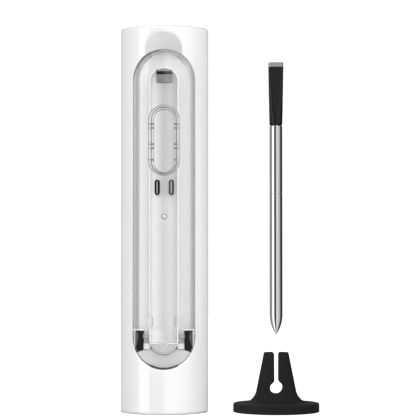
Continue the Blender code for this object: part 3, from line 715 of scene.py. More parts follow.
def shell_body():
    """The case's front as a closed solid, with the recess as a pit and rounded end edges."""
    mesh = bmesh.new()
    floor = FLOOR_Y + 2 * MM
    stations = recess_stations()
    columns = []
    for middle, (nx, nz), (mate_u, mate_z) in stations:
        lower = max(-nz, 0) ** 2
        lip = (0.35 + 1.7 * lower) * MM
        deep = (0.35 + 0.25 * lower) * MM

        def on_outline(beyond, middle=middle, nx=nx, nz=nz):
            radius = RECESS_RADIUS + beyond
            return PROFILE.u_of(radius * nx), middle + radius * nz

        start_u, start_z = on_outline(lip)
        corner = front_point(*on_outline(0.0))
        start = front_point(start_u, start_z)
        wall = (corner[0], corner[1] + deep, corner[2])
        column = [(corner[0], floor, corner[2]), (corner[0], FLOOR_Y - GAP, corner[2])]
        column.append((wall[0], wall[1] + 0.5 * MM, wall[2]))
        column += [curved(wall, corner, start, i / 6) for i in range(7)]
        for share in spread(36, 1.25)[1:]:
            u = start_u + (mate_u - start_u) * share
            z = start_z + (mate_z - start_z) * share
            column.append(front_point(u, z))
        columns.append([mesh.verts.new(point) for point in column])
    count = len(columns)
    for i in range(count):
        here, after = columns[i], columns[(i + 1) % count]
        for k in range(len(here) - 1):
            face = mesh.faces.new((here[k], after[k], after[k + 1], here[k + 1]))
            # Painted shadow of the gap round the lid: along the bottom the recess wall and lip get
            # the near-black gap finish, and on the sides and top the wall and the start of the lip
            # get the grey seam finish.
            facing = stations[i][1][1]
            if facing < -0.9 and k < 5:
                face.material_index = 2
            elif facing > -0.2 and k in (2, 3, 4):
                face.material_index = 1
    mesh.faces.new([column[0] for column in columns])

    back = []
    for high_end in (True, False):
        edge_z = HEIGHT - EDGE_ROUND if high_end else EDGE_ROUND
        outer = [i for i, s in enumerate(stations) if abs(s[2][1] - edge_z) < 1e-9]
        outer.sort(key=lambda i: -stations[i][2][0])
        rows = [[columns[i][-1] for i in outer]]
        for inset, depth in edge_steps(EDGE_ROUND)[::-1][1:]:
            z = HEIGHT - depth if high_end else depth
            row = [mesh.verts.new((*PROFILE.at(stations[i][2][0], inset), z)) for i in outer]
            for k in (0, -1):
                row[k].co.y = SHELL_BACK
            rows.append(row)
        for low, high in zip(rows, rows[1:]):
            for k in range(len(outer) - 1):
                mesh.faces.new((low[k], low[k + 1], high[k + 1], high[k]))
        mesh.faces.new(rows[-1])
        back.append(rows)
    rest = [i for i, s in enumerate(stations) if abs(abs(s[2][0]) - PROFILE.half) < 1e-9]
    right = sorted((i for i in rest if stations[i][2][0] > 0), key=lambda i: stations[i][2][1])
    left = sorted((i for i in rest if stations[i][2][0] < 0), key=lambda i: -stations[i][2][1])
    loop = [columns[i][-1] for i in right]
    loop += [row[0] for row in back[0][1:]]
    loop += [row[-1] for row in back[0][1:]][::-1]
    loop += [columns[i][-1] for i in left]
    loop += [row[-1] for row in back[1][1:]]
    loop += [row[0] for row in back[1][1:]][::-1]
    mesh.faces.new(loop)
    bmesh.ops.recalc_face_normals(mesh, faces=mesh.faces)
    return mesh


def case_outline(inset, back, steps=64):
    half = PROFILE.half - SHELL_BACK
    points = [PROFILE.at(-half + 2 * half * i / steps, inset) for i in range(steps + 1)]
    side = HALF_WIDTH - inset
    return [*points, (side, back), (-side, back)]


def screw_places():
    return [(x, z) for z in SCREW_Z for x in (-SCREW_X, SCREW_X)]


def make_case():
    cavity = prism_z(case_outline(WALL, SHELL_BACK + PAST), WALL, HEIGHT - WALL)
    collar = stadium(RECESS_RADIUS + 1.5 * MM, RECESS_LOW - 1.5 * MM, RECESS_HIGH + 1.5 * MM, 32)
    solids = [
        prism_y(collar, AHEAD, FLOOR_Y - GAP),
        box(mm(-12, 12), (AHEAD, -8.4 * MM), (162 * MM, HEIGHT)),
    ]
    solids += [prism_y(circle(2.6 * MM, p, 24), AHEAD, SHELL_BACK - GAP) for p in screw_places()]
    cavity = cut(cavity, *solids)
    holes = [prism_y(circle(1.05 * MM, p, 20), 2 * MM, SHELL_BACK + PAST) for p in screw_places()]
    shell = cut(shell_body(), cavity, *holes)
    piece("case_front", shell, "front seam gap", "dock", ["front_shell"])

    front = SHELL_BACK + GAP
    corner = 2.4 * MM
    rings = []
    levels = edge_steps(EDGE_ROUND)
    levels += [(inset, HEIGHT - depth) for inset, depth in reversed(levels)]
    for inset, z in levels:
        ring = [(-HALF_WIDTH + inset, front, z), (HALF_WIDTH - inset, front, z)]
        for side in (1, -1):
            arc = []
            for i in range(13):
                turn = math.pi / 2 * i / 12
                x = side * (HALF_WIDTH - inset - corner * (1 - math.cos(turn)))
                y = HALF_DEPTH - corner * (1 - math.sin(turn)) - front
                arc.append((x, front + y * (1 - inset / (HALF_DEPTH - front)), z))
            ring += arc if side == 1 else arc[::-1]
        rings.append(ring)
    around = 7.6 * MM
    bay = rounded(-around, around, 19.7 * MM, 77 * MM, 0.8 * MM)
    cutters = [prism_y(bay, front - PAST, BEHIND)]
    for place in screw_places():
        cutters.append(prism_y(circle(1.05 * MM, place, 24), front - PAST, front + PAST))
        cutters.append(prism_y(circle(1.9 * MM, place, 40), front + 0.9 * MM, BEHIND))
    for z in mm(96, 150):
        cutters.append(prism_y(circle(6.3 * MM, (0, z), 48), front - PAST, front + 1.5 * MM))
    cover = cut(skin(rings), *cutters)
    piece("case_back", cover, "case", "dock", ["back_cover"])

    door = prism_y(rounded(*mm(-7.3, 7.3, 20, 76.7, 0.6)),
                   front + GAP, HALF_DEPTH, 0.0, 0.25 * MM)
    dent = ball((0, HALF_DEPTH + 0.6 * MM, 70 * MM), mm(5, 1.6, 3), 48)
    ribs = []
    for i in range(4):
        z = (60 + 1.6 * i) * MM
        rib = rounded(-3.6 * MM, 3.6 * MM, z, z + 0.7 * MM, 0.34 * MM)
        ribs.append(prism_y(rib, HALF_DEPTH - 0.3 * MM, HALF_DEPTH + PAST))
    door = cut(door, dent, *ribs)
    piece("battery_cover", door, "case", "door", ["battery_door"])


# Tray


def tray_profile(bed_y):
    """(radius, y, follows) points across half the tray, from the channel's middle round to the
    back. follows says whose round ends a point keeps to: the channel's (0) or the floor's (1)."""
    points = []
    steps = 22
    for i in range(steps + 1):
        turn = math.pi / 2 * i / steps
        radius = CHANNEL_RADIUS * math.sin(turn)
        y = bed_y + CHANNEL_RADIUS * math.cos(turn)
        if y > CHANNEL_Y + 0.25 * MM:
            points.append((radius, y, 0))
    points.append((CHANNEL_RADIUS, CHANNEL_Y + 0.2 * MM, 0))
    outer = ISLAND_RADIUS + 0.12 * MM
    crest = (CHANNEL_RADIUS + outer) / 2
    half = (outer - CHANNEL_RADIUS) / 2
    for i in range(1, 8):
        turn = math.pi * i / 8
        rise = 0.2 * MM * math.sin(turn)
        points.append((crest - half * math.cos(turn), CHANNEL_Y + 0.2 * MM - rise, 0))
    points.append((outer, CHANNEL_Y + 0.2 * MM, 0))
    fillet = 0.7 * MM
    for i in range(7):
        turn = math.pi / 2 * i / 6
        radius = outer + fillet * (1 - math.cos(turn))
        points.append((radius, FLOOR_Y - fillet * (1 - math.sin(turn)), 0))
    points += [(11 * MM, FLOOR_Y, 0.5), (15.6 * MM, FLOOR_Y, 1), (15.6 * MM, TRAY_BACK, 1)]
    points += [(8 * MM, TRAY_BACK, 0.5), (0.0, TRAY_BACK, 0)]
    return points


def swept(stations, close):
    """A solid from stations round a stadium. Each is a list of points that starts and ends on the
    middle line, where the two halves meet."""
    mesh = bmesh.new()
    rows = [[mesh.verts.new(point) for point in station] for station in stations]
    pairs = list(zip(rows, rows[1:]))
    if close:
        pairs.append((rows[-1], rows[0]))
    for a, b in pairs:
        for i in range(len(a) - 1):
            mesh.faces.new((a[i], a[i + 1], b[i + 1], b[i]))
    if not close:
        mesh.faces.new([*rows[0][::-1], *rows[-1][1:-1]])
    bmesh.ops.remove_doubles(mesh, verts=mesh.verts, dist=0.2e-6)
    bmesh.ops.dissolve_degenerate(mesh, dist=1e-7, edges=mesh.edges)
    bmesh.ops.recalc_face_normals(mesh, faces=mesh.faces)
    return mesh


def make_tray():
    floor_low, floor_high = RECESS_LOW + RECESS_RADIUS, RECESS_HIGH - RECESS_RADIUS
    shallow, deep = tray_profile(CHANNEL_Y), tray_profile(HANDLE_BED_Y)
    while len(deep) > len(shallow):
        deep.pop(2)
    while len(shallow) > len(deep):
        shallow.pop(2)

    def station(profile, middle, floor_middle, degrees):
        turn = math.radians(degrees)
        points = []
        for radius, y, follows in profile:
            z = middle + (floor_middle - middle) * follows
            points.append((radius * math.cos(turn), y, z + radius * math.sin(turn)))
        return points

    def eased(share):
        share = share * share * (3 - 2 * share)
        return [(a[0] + (b[0] - a[0]) * share, a[1] + (b[1] - a[1]) * share, a[2])
                for a, b in zip(shallow, deep)]

    ease = 2 * MM
    levels = [(SPINE_LOW + (HANDLE_BED_LOW - ease - SPINE_LOW) * i / 12, 0.0) for i in range(13)]
    levels += [(HANDLE_BED_LOW + (i / 8 - 1) * ease, i / 16) for i in range(1, 17)]
    top = HANDLE_BED_LOW + ease
    levels += [(top + (SPINE_HIGH - top) * i / 8, 1.0) for i in range(1, 9)]

    def floor_of(z):
        share = (z - SPINE_LOW) / (SPINE_HIGH - SPINE_LOW)
        return floor_low + (floor_high - floor_low) * share

    stations = [station(eased(s), z, floor_of(z), 0) for z, s in levels]
    stations += [station(deep, SPINE_HIGH, floor_high, 180 * i / 64) for i in range(1, 64)]
    stations += [station(eased(s), z, floor_of(z), 180) for z, s in reversed(levels)]
    stations += [station(shallow, SPINE_LOW, floor_low, 180 + 180 * i / 64) for i in range(1, 64)]
    tray = swept(stations, True)
    for face in tray.faces:
        middle = face.calc_center_median()
        reach = math.hypot(middle.x, max(middle.z - SPINE_HIGH, SPINE_LOW - middle.z, 0))
        in_channel = reach < 6.2 * MM and middle.y < TRAY_BACK - 0.3 * MM
        # Painted highlight on the crests along the channel, with the trim grey below 33 mm.
        if middle.y < CHANNEL_Y + 0.45 * MM:
            face.material_index = 1 if middle.z > 33 * MM else 3
        else:
            face.material_index = 2 * int(in_channel)

    through = (AHEAD, 0)
    slot = stadium(1.17 * MM, 101.55 * MM, 108.75 * MM, 16)
    cutters = [prism_y([(x + side, z) for x, z in slot], *through) for _, side in CONTACTS]
    cutters.append(prism_y(rounded(*mm(-3.7, 3.7, 154.2, 159.8, 0.5)), *through))
    cutters.append(prism_y(circle(1.35 * MM, (0, 91.6 * MM), 48), *through))
    for low, high in ((-13.2, -9.4), (9.4, 13.2)):
        window = rounded(low * MM, high * MM, HINGE_Z - 6 * MM, HINGE_Z + 2.8 * MM, 0.4 * MM)
        cutters.append(prism_y(window, *through))
    tray = cut(tray, *cutters)
    piece("tray_channel", tray, "tray lip channel trim", "dock", ["probe_tray"])

    # Painted shade: the seat's grey finish is darker than the tray's white.
    seat = prism_y(seat_outline(), CHANNEL_Y - 0.1 * MM, FLOOR_Y - 0.05 * MM)
    piece("tip_seat", seat, "seat", "dock")
    # Painted highlight: a thin ledge in the lip finish along the top of the seat.
    upper = seat_outline()[:SEAT_STEPS]
    ledge = [*upper, *[(x, z - 0.5 * MM) for x, z in reversed(upper)]]
    lip = prism_y(ledge, CHANNEL_Y - 0.3 * MM, CHANNEL_Y + MM)
    piece("tip_seat_lip", lip, "lip", "dock")


def seat_outline():
    """The island's closed end: a half round below, and above it a ledge that dips to a point."""
    radius = 6.02 * MM
    ledge, point = 33 * MM, 29.9 * MM
    upper = []
    for i in range(SEAT_STEPS):
        x = radius * (0.99 - 1.98 * i / (SEAT_STEPS - 1))
        share = min(math.hypot(x, 0.3 * MM) / (2.3 * MM), 1)
        upper.append((x, point + (ledge - point) * (1 - (1 - share) ** 2.2)))
    start = math.degrees(math.asin((ledge - SPINE_LOW) / radius))
    return upper + arc((0, SPINE_LOW), radius, 180 - start, 180 + 2 * start, 40, 1)[:-1]


def make_trim():
    """The crescent below the lid, round the island's end."""
    outer, inner = LID_RADIUS, ISLAND_RADIUS + GAP
    middle = RECESS_LOW + RECESS_RADIUS
    top = 29.9 * MM
    start = math.asin((top - 1.3 * MM - middle) / outer)
    points = []
    for i in range(65):
        turn = math.pi - start + (math.pi + 2 * start) * i / 64
        radius = outer + 0.2 * MM * min(max((0.93 + math.sin(turn)) / 0.15, 0), 1)
        points.append((radius * math.cos(turn), middle + radius * math.sin(turn)))
    shoulder = 8.6 * MM
    points.append((shoulder, top))
    end = math.degrees(math.asin((top - SPINE_LOW) / inner))
    points += arc((0, SPINE_LOW), inner, 360 + end, -180 - 2 * end, 32)
    points.append((-shoulder, top))
    trim = prism_y(points, -8.5 * MM, FLOOR_Y - GAP, 0.25 * MM)
    piece("trim_crescent", trim, "trim", "dock", ["recess_trim"])


# Lid


def skirt_of(across):
    """Width of the lid's side wall: broad along the sides, narrow at the top."""
    return (0.6 + 2.2 * abs(across) ** 1.5) * MM


def lid_station(middle, degrees, inner_x, inner_y):
    """Points across half the lid: its front, its side wall, the rim and the inside back."""
    turn = math.radians(degrees)
    across, up = math.cos(turn), math.sin(turn)
    inner = LID_RADIUS - skirt_of(across)
    soft = 0.3 * MM

    def place(radius, y):
        return (radius * across, y, middle + radius * up)

    def inside(radius):
        return float(np.interp(radius * across, inner_x, inner_y))

    bend = LID_RADIUS - 0.7 * skirt_of(across)
    reaches = [inner * i / 16 for i in range(17)]
    reaches += [inner + (bend - inner) * i / 2 for i in (1, 2)]
    reaches += [bend + (LID_RADIUS - soft - bend) * i / 3 for i in (1, 2, 3)]
    points = [place(radius, crown_y(radius * across)) for radius in reaches]
    corner, wall = crown_y(LID_RADIUS * across), crown_y(LID_RADIUS * across) + soft
    start = points[-1][1]
    ends = ((LID_RADIUS - soft, start), (LID_RADIUS, corner), (LID_RADIUS, wall))
    points += [place(*curved(*ends, i / 4)) for i in range(1, 5)]
    points += [place(LID_RADIUS, LID_BACK - 0.15 * MM), place(LID_RADIUS - 0.15 * MM, LID_BACK)]
    points += [place(inner + 0.15 * MM, LID_BACK), place(inner, LID_BACK - 0.15 * MM)]
    soft = 0.5 * MM
    corner, start, end = inside(inner), inside(inner) + soft, inside(inner - soft)
    ends = ((inner, start), (inner, corner), (inner - soft, end))
    points += [place(*curved(*ends, i / 4)) for i in range(5)]
    points += [place((inner - soft) * (1 - i / 16), inside((inner - soft) * (1 - i / 16)))
               for i in range(1, 17)]
    return points


def arm_outline():
    """The side of a hinge arm, as (y, z) points: a strip on the lid's skin and a round hub."""
    hub = arc(HINGE, 3 * MM, 180, 220, 32)
    return [mm(-12.6, 44), *hub, mm(-10.4, 44)]


RING_SECTION = (
    (0, 0.55), (0.05, 0.25), (0.16, 0.0), (0.38, 0.0), (0.5, 0.45), (0.62, 0.0), (0.84, 0.0),
    (0.95, 0.25), (1, 0.55), (1, None), (0, None),
)


def make_lid():
    inner_x, inner_y = inner_crown(LID_SKIN)
    side = 24
    span = LID_SPINE_HIGH - LID_LOW
    heights = [LID_LOW, LID_LOW + LID_LIP, *[LID_LOW + span * i / side for i in range(1, side + 1)]]
    stations = [lid_station(z, 180, inner_x, inner_y) for z in heights]
    for i in range(1, 96):
        stations.append(lid_station(LID_SPINE_HIGH, 180 - 180 * i / 96, inner_x, inner_y))
    stations += [lid_station(z, 0, inner_x, inner_y) for z in reversed(heights)]
    lid = swept(stations, False)
    # Painted light and shade on the clear lid: the rim, band and faint sheets tint its side walls
    # and top, and an opaque strip of the lip finish at the lower end of the side walls is a painted
    # highlight.
    for face in lid.faces:
        middle = face.calc_center_median()
        reach = math.hypot(middle.x, max(middle.z - LID_SPINE_HIGH, 0))
        skirt = skirt_of(middle.x / max(reach, MM))
        under = crown_y(middle.x) + LID_SKIN
        top = middle.z > LID_SPINE_HIGH and abs(middle.x) < 0.45 * reach
        if middle.z < LID_LOW + LID_LIP and abs(middle.x) > 9.3 * MM and face.normal.y < -0.2:
            face.material_index = 4
        elif top and (reach > LID_RADIUS - 0.98 * skirt or abs(face.normal.y) < 0.5):
            face.material_index = 3
        elif reach > LID_RADIUS - 0.68 * skirt:
            face.material_index = 2
        elif reach > LID_RADIUS - 0.98 * skirt or middle.y > under + 0.8 * MM:
            face.material_index = 1
    fittings = []
    for left, right in ((-ARM_OUTER, -ARM_INNER), (ARM_INNER, ARM_OUTER)):
        fittings.append(prism_x(arm_outline(), left, right, 0.25 * MM))
    for left, right in (mm(-6.8, -4.9), mm(4.9, 6.8)):
        nub = rounded(left, right, 40.6 * MM, 45 * MM, 0.6 * MM)
        fittings.append(prism_y(nub, -13 * MM, -11 * MM, 0.0, 0.3 * MM))
    bore = prism_x(circle(1.25 * MM, HINGE, 32), -ARM_OUTER - PAST, ARM_OUTER + PAST)
    fittings = cut(join(*fittings), lid.copy(), bore)
    bmesh.ops.translate(fittings, verts=fittings.verts, vec=(0, 0.03 * MM, 0))
    # Painted shade: the arms get the faint sheet.
    for face in fittings.faces:
        face.material_index = int(abs(face.calc_center_median().x) > 6.85 * MM)
    piece("lid_arms", fittings, "clear faint", "lid", clear=True)
    piece("lid_clear", lid, "clear rim band faint lip", "lid", ["clear_lid"], clear=True)


def make_ring():
    """The oval guide ring behind the lid, with three pairs of notches."""
    inset = LID_SKIN + GAP
    ring_x, ring_y = inner_crown(inset)
    outer, hole = 7.05 * MM, 4.5 * MM
    stations = []
    low, high = 110.3 * MM + outer, 143.1 * MM - outer
    hole_low, hole_high = 111.9 * MM + hole, 140.8 * MM - hole
    places = [(low + (high - low) * i / 12, hole_low + (hole_high - hole_low) * i / 12, 0)
              for i in range(13)]
    places += [(high, hole_high, 180 * i / 64) for i in range(1, 64)]
    places += [(b, c, 180) for b, c, _ in places[12::-1]]
    places += [(low, hole_low, 180 + 180 * i / 64) for i in range(1, 64)]
    for outer_z, hole_z, degrees in places:
        turn = math.radians(degrees)
        cos, sin = math.cos(turn), math.sin(turn)
        section = []
        for share, depth in RING_SECTION:
            radius = outer + (hole - outer) * share
            z = outer_z + (hole_z - outer_z) * share + radius * sin
            x = radius * cos
            front = float(np.interp(x, ring_x, ring_y))
            y = -11.2 * MM if depth is None else min(front + depth * MM, -11.25 * MM)
            section.append((x, y, z))
        stations.append(section)
    ring = skin([*stations, stations[0]], closed_ends=False)
    bmesh.ops.remove_doubles(ring, verts=ring.verts, dist=1e-7)
    notches = []
    for z in (134.1, 132.3, 124.8, 122.9, 117.6):
        for left, right in (mm(-9, -3), mm(3, 9)):
            notch = [(-13.2 * MM, (z - 0.75) * MM), (-11.35 * MM, (z - 0.05) * MM),
                     (-11.35 * MM, (z + 0.05) * MM), (-13.2 * MM, (z + 0.75) * MM)]
            notches.append(prism_x(notch, left, right))
    ring = cut(ring, *notches)
    piece("ring_guide", ring, "ring", "lid", ["handle_guide_ring"], clear=True)


# Hinge and contacts


def make_hinge():
    low, nose = HINGE_Z - 5.7 * MM, 2.5 * MM
    outline = [(-1.6 * MM, low), (-1.6 * MM, HINGE_Z + nose)]
    outline += [*arc(HINGE, nose, 90, 110, 32), (-9.6 * MM, low)]
    for name, side in HAND_SIDES:

        def span(a, b, side=side):
            return tuple(sorted((side * a * MM, side * b * MM)))

        block = prism_x(outline, *span(9.7, 12.9))
        flange = box(span(9.2, 13.5), (TRAY_BACK + GAP, -1.1 * MM), mm(29.2, 39.6))
        corners = ((9.7, 29.8), (12.4, 28.9), (12.4, 31), (9.7, 31))
        foot = [(side * x * MM, z * MM) for x, z in corners]
        foot = prism_y(foot[::side], -8.3 * MM, -4.9 * MM)
        slope = [(side * x * MM, y * MM) for x, y in ((11.4, -12), (14, -12), (14, -8.2))]
        slope = prism_z(slope[::side], 25 * MM, 42 * MM)
        bore = prism_x(circle(1.25 * MM, HINGE, 32), *span(9.4, 12.4))
        block = cut(join(block, flange, foot), slope, bore)
        # Painted light: the outward, forward-facing sloping faces get the paler slope finish.
        for face in block.faces:
            sloping = face.normal.x * side > 0.3 and face.normal.y < -0.2
            face.material_index = int(sloping)
        piece(f"hinge_support_{name}", block, "black slope", "dock",
              [f"hinge_block_{name}"])


def make_cradles():
    """The tray's cradles under the lid's hubs and its cheeks outside the hinge blocks."""
    outline = [mm(-4.3, 30.05), mm(-9.4, 30.05)]
    outline += arc(HINGE, 3.35 * MM, 263.2, 62, 16)
    outline.append((-4.3 * MM, outline[-1][1]))
    for name, side in HAND_SIDES:
        near = sorted((side * 6.3 * MM, side * 9.45 * MM))
        piece(f"hinge_cradle_{name}", prism_x(outline[::-1], *near, 0.15 * MM), "tray",
              "dock")
        far = sorted((side * 13.2 * MM, side * 14.15 * MM))
        cheek = prism_x(rectangle(*mm(-8.2, -4.9, 30.2, 38.4)), *far, 0.12 * MM)
        piece(f"hinge_cheek_{name}", cheek, "tray", "dock")


def spring(name, place, radius, wire, start, turns):
    """A coil spring between a sprung contact and the board."""
    rings = []
    steps = 16
    length = SPRING_END - start - 2 * wire
    for i in range(turns * steps + 1):
        turn = 2 * math.pi * i / steps
        along = start + wire + length * i / (turns * steps)
        ring = []
        for out, on in circle(wire, steps=10):
            across = (radius + out) * math.cos(turn)
            up = (radius + out) * math.sin(turn)
            ring.append((place[0] + across, along + on, place[1] + up))
        rings.append(ring)
    made = piece(name, skin(rings), "steel", "dock", [name])
    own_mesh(made)


def make_springs():
    for side, x in CONTACTS:
        spring(f"contact_spring_{side}", (x, 105.15 * MM), 0.9 * MM, 0.18 * MM, -0.78 * MM, 3)
    spring("end_contact_spring", (0, 156.25 * MM), 1.3 * MM, 0.2 * MM, -1.48 * MM, 4)


def make_contacts():
    for side, x in CONTACTS:
        bar = stadium(0.25 * MM, 102.3 * MM, 108.0 * MM, 12)
        front = prism_y([(a + x, z) for a, z in bar], -6.3 * MM, -1.25 * MM, 0.22 * MM)
        flange = box((x - 1.2 * MM, x + 1.2 * MM), mm(-1.2, -0.8), mm(101.25, 109.05))
        piece(f"contact_bar_{side}", front, "contact", f"contact_{side}",
              [f"charge_contact_{side}"])
        piece(f"contact_flange_{side}", flange, "black", f"contact_{side}")
    carrier = box(mm(-5.6, 5.6), mm(-2.1, 1.2), mm(98.75, 111.55))
    collars, holes = [], []
    for _, x in CONTACTS:
        outer = [(a + x, z) for a, z in stadium(1.14 * MM, 101.58 * MM, 108.72 * MM, 16)]
        inner = [(a + x, z) for a, z in stadium(0.38 * MM, 102.1 * MM, 108.2 * MM, 16)]
        front = -0.65 * MM + HANDLE_BED_Y + math.sqrt((CHANNEL_RADIUS**2 - (3.9 * MM) ** 2))
        collars.append(prism_y(outer, front, -1.9 * MM, 0.08 * MM))
        holes.append(prism_y(inner, AHEAD, 5 * MM))
        pocket = (x - 1.5 * MM, x + 1.5 * MM)
        holes.append(box(pocket, (-1.7 * MM, PAST), mm(100.95, 109.35)))
    carrier = cut(join(carrier, *collars), *holes)
    # The pit finish is partly painted shade in the contact slots.
    piece("contact_block", carrier, "pit", "dock", ["contact_carrier"])

    pad = prism_y(rounded(*mm(-3.62, 3.62, 154.28, 158.1, 0.3)), -4.8 * MM,
                  -2.15 * MM, 0.3 * MM)
    piece("end_pad", pad, "cap", "end_contact", ["end_contact"])
    flange = box(mm(-4.3, 4.3), mm(-2.1, -1.5), mm(153.3, 160.5))
    piece("end_pad_flange", flange, "black", "end_contact")


# Probe


def ogive(height):
    if height >= OGIVE_LENGTH:
        return STEM_RADIUS
    sweep = (STEM_RADIUS**2 + OGIVE_LENGTH**2) / (2 * STEM_RADIUS)
    short = OGIVE_LENGTH - height
    return max(math.sqrt(sweep**2 - short**2) - (sweep - STEM_RADIUS), 0.1 * MM)


def square_ring(half, corner, z):
    points = []
    for x, y in rounded(-half, half, -half, half, corner, 10):
        points.append((PROBE_X + x, y, z))
    return points


def make_probe():
    middle = (PROBE_X, 0)
    heights = [OGIVE_LENGTH * (i / 40) ** 1.5 for i in range(41)]
    profile = [(0.03 * MM, TIP_Z)] + [(ogive(h), TIP_Z + h + 0.03 * MM) for h in heights]
    for radius, z in ((3, 102.0), (2.78, 102.08), (2.78, 102.32), (3, 102.4)):
        profile.append((radius * MM, z * MM))
    profile += [(STEM_RADIUS, STEM_TOP - 0.15 * MM), (STEM_RADIUS - 0.12 * MM, STEM_TOP)]
    stem = turned(profile, middle, 128)
    low = TIP_Z + OGIVE_LENGTH + 0.8 * MM
    stem = cut(stem, turned([(2.3 * MM, low), (2.3 * MM, STEM_TOP + PAST)], middle, 48))
    piece("stem_tube", stem, "stem", "probe", ["probe_stem"])

    seal = [(2.9 * MM, z) for z in (STEM_TOP + GAP, HANDLE_LOW - GAP)]
    seal = cut(turned(seal, middle), turned([(1.9 * MM, 0.13), (1.9 * MM, 0.14)], middle, 48))
    piece("stem_seal", seal, "silicone", "probe", ["handle_seal"])

    rings = []
    for inset, rise in edge_steps(0.1 * MM):
        rings.append((3.05 * MM - inset, 3.0 * MM - inset, HANDLE_LOW - 0.2 * MM + rise))
    for i in range(1, 13):
        share = i / 12
        half = (3.05 + 0.42 * share**0.9) * MM
        corner = (3.0 - 1.9 * min(share / 0.75, 1) ** 0.8) * MM
        rings.append((half, corner, HANDLE_LOW + (HANDLE_HIGH - HANDLE_LOW - 0.1 * MM) * share))
    rings.append((3.37 * MM, 1.05 * MM, HANDLE_HIGH))
    handle = skin([square_ring(*ring) for ring in rings])
    handle = cut(handle, turned([(1.9 * MM, 0.13), (1.9 * MM, 0.17)], middle, 48))
    piece("handle_grip", handle, "ceramic", "probe", ["probe_handle"])

    low = HANDLE_HIGH + 0.12 * MM
    rings = [(3.37 * MM, 1.05 * MM, low), (3.47 * MM, 1.1 * MM, low + 0.1 * MM)]
    for inset, rise in edge_steps(0.15 * MM)[::-1]:
        rings.append((3.47 * MM - inset, 1.1 * MM - inset, PROBE_HIGH - rise))
    cap = skin([square_ring(*ring) for ring in rings])
    spigot = [mm(1.6, 159.6), (1.6 * MM, low + 0.5 * MM)]
    cap = join(cap, turned(spigot, middle, 32))
    piece("handle_cap", cap, "cap", "probe", ["probe_end_cap"])


# Holder


def make_holder():
    disc_high = 4.2 * MM
    radius = 20.3 * MM
    steps = 160
    unit = circle(1, steps=steps)
    rings = []
    for inset, rise in edge_steps(0.4 * MM):
        rings.append((radius - inset, radius - inset, rise))
    for inset, rise in edge_steps(0.7 * MM)[::-1]:
        rings.append((radius - inset, radius - inset, disc_high - rise))
    fillet = 5.5 * MM
    base_x, base_y = (5.8 + 0.2 * 23.8 + 5.5) * MM, (4 + 0.11 * 23.8 + 5.5) * MM
    for share in (0.25, 0.5, 0.75):
        x = radius - 0.7 * MM + (base_x - radius + 0.7 * MM) * share
        y = radius - 0.7 * MM + (base_y - radius + 0.7 * MM) * share
        rings.append((x, y, disc_high))
    rises = [fillet * (1 - math.cos(math.pi / 2 * i / 10)) for i in range(1, 11)]
    rises += [fillet + (HOLDER_TOP - disc_high - fillet - 0.4 * MM) * i / 10 for i in range(1, 11)]
    for rise in rises:
        z = disc_high + rise
        short = max(fillet - rise, 0)
        wider = fillet - math.sqrt(fillet**2 - short**2)
        below = HOLDER_TOP - z
        rings.append((5.8 * MM + 0.2 * below + wider, 4 * MM + 0.11 * below + wider, z))
    for inset, rise in edge_steps(0.4 * MM)[::-1][1:]:
        rings.append((5.8 * MM - inset, 4 * MM - inset, HOLDER_TOP - rise))
    placed = [[(HOLDER_X + x * a, HOLDER_Y + y * b, z) for x, y in unit] for a, b, z in rings]
    holder = skin(placed)
    opening = holder_opening()
    through = (HOLDER_Y - radius, HOLDER_Y + radius)
    holder = cut(holder, prism_y(opening, *through))
    piece("holder_stand", holder, "silicone", "holder", ["silicone_holder"], 40)


def holder_opening():
    """The slot down from the fin's top into the round hole, as (x, z) points."""
    half, hole, hole_z = 1.04 * MM, 3.03 * MM, 11.3 * MM
    lead = 1.1 * MM
    left = [(-half - lead, HOLDER_TOP + PAST)]
    left += arc((-half - lead, HOLDER_TOP - lead), lead, 90, -90, 12)
    soft = 1.4 * MM
    rise = math.sqrt((hole + soft) ** 2 - (half + soft) ** 2)
    meet = math.degrees(math.atan2(rise, half + soft))
    left += arc((-half - soft, hole_z + rise), soft, 0, -meet, 8)
    ring = arc((0, hole_z), hole, 180 - meet, 180 + 2 * meet, 80, 1)[:-1]
    right = [(-x, z) for x, z in reversed(left)]
    return [(HOLDER_X + x, z) for x, z in (*left, *ring, *right)]


# CAD nodes that stay


def dress_nodes(frame):
    """Smooth shading and detailed finishes for the CAD nodes that are shown."""
    slots = {row["node"]: row["material_slot"] for row in frame["record"]["subparts"]}
    bodies = frame["record"]["behaviour"]["bodies"]
    apart = {name for body in ALONE for name in bodies[body]}
    for name, node in frame["nodes"].items():
        if node.hide_render:
            continue
        node.visible_glossy = name in apart
        node.data.materials.clear()
        node.data.materials.append(FINISHES["frosted" if name == "light_pipe" else slots[name]])
        node.data.shade_smooth()
        node.data.set_sharp_from_angle(angle=math.radians(32))


# Stage


BAND_LEVEL = 3.0  # the brightest that a band may be
PLAIN_BANDS = (
    (-180, 0.8), (-120, 0.92), (-70, 1.04), (-20, 1.06), (25, 1.3), (50, 1.5), (75, 1.35),
    (100, 0.7), (150, 0.68), (180, 0.8),
)
GLOSSY_BANDS = (
    (-180, 0.34), (-100, 0.36), (-84, 0.5), (-75, 0.6), (-69, 2.0), (-41, 2.0), (-37, 0.25),
    (-22, 0.14), (-12, 0.06), (-2, 0.06), (2, 1.05), (30, 1.06), (45, 0.8), (66, 0.66), (76, 0.5),
    (84, 0.07), (120, 0.035), (180, 0.035),
)


def sky_axis(tree, direction):
    return node(tree, "SeparateXYZ", direction, {"Vector": node(tree, "TexCoord", "Generated")})


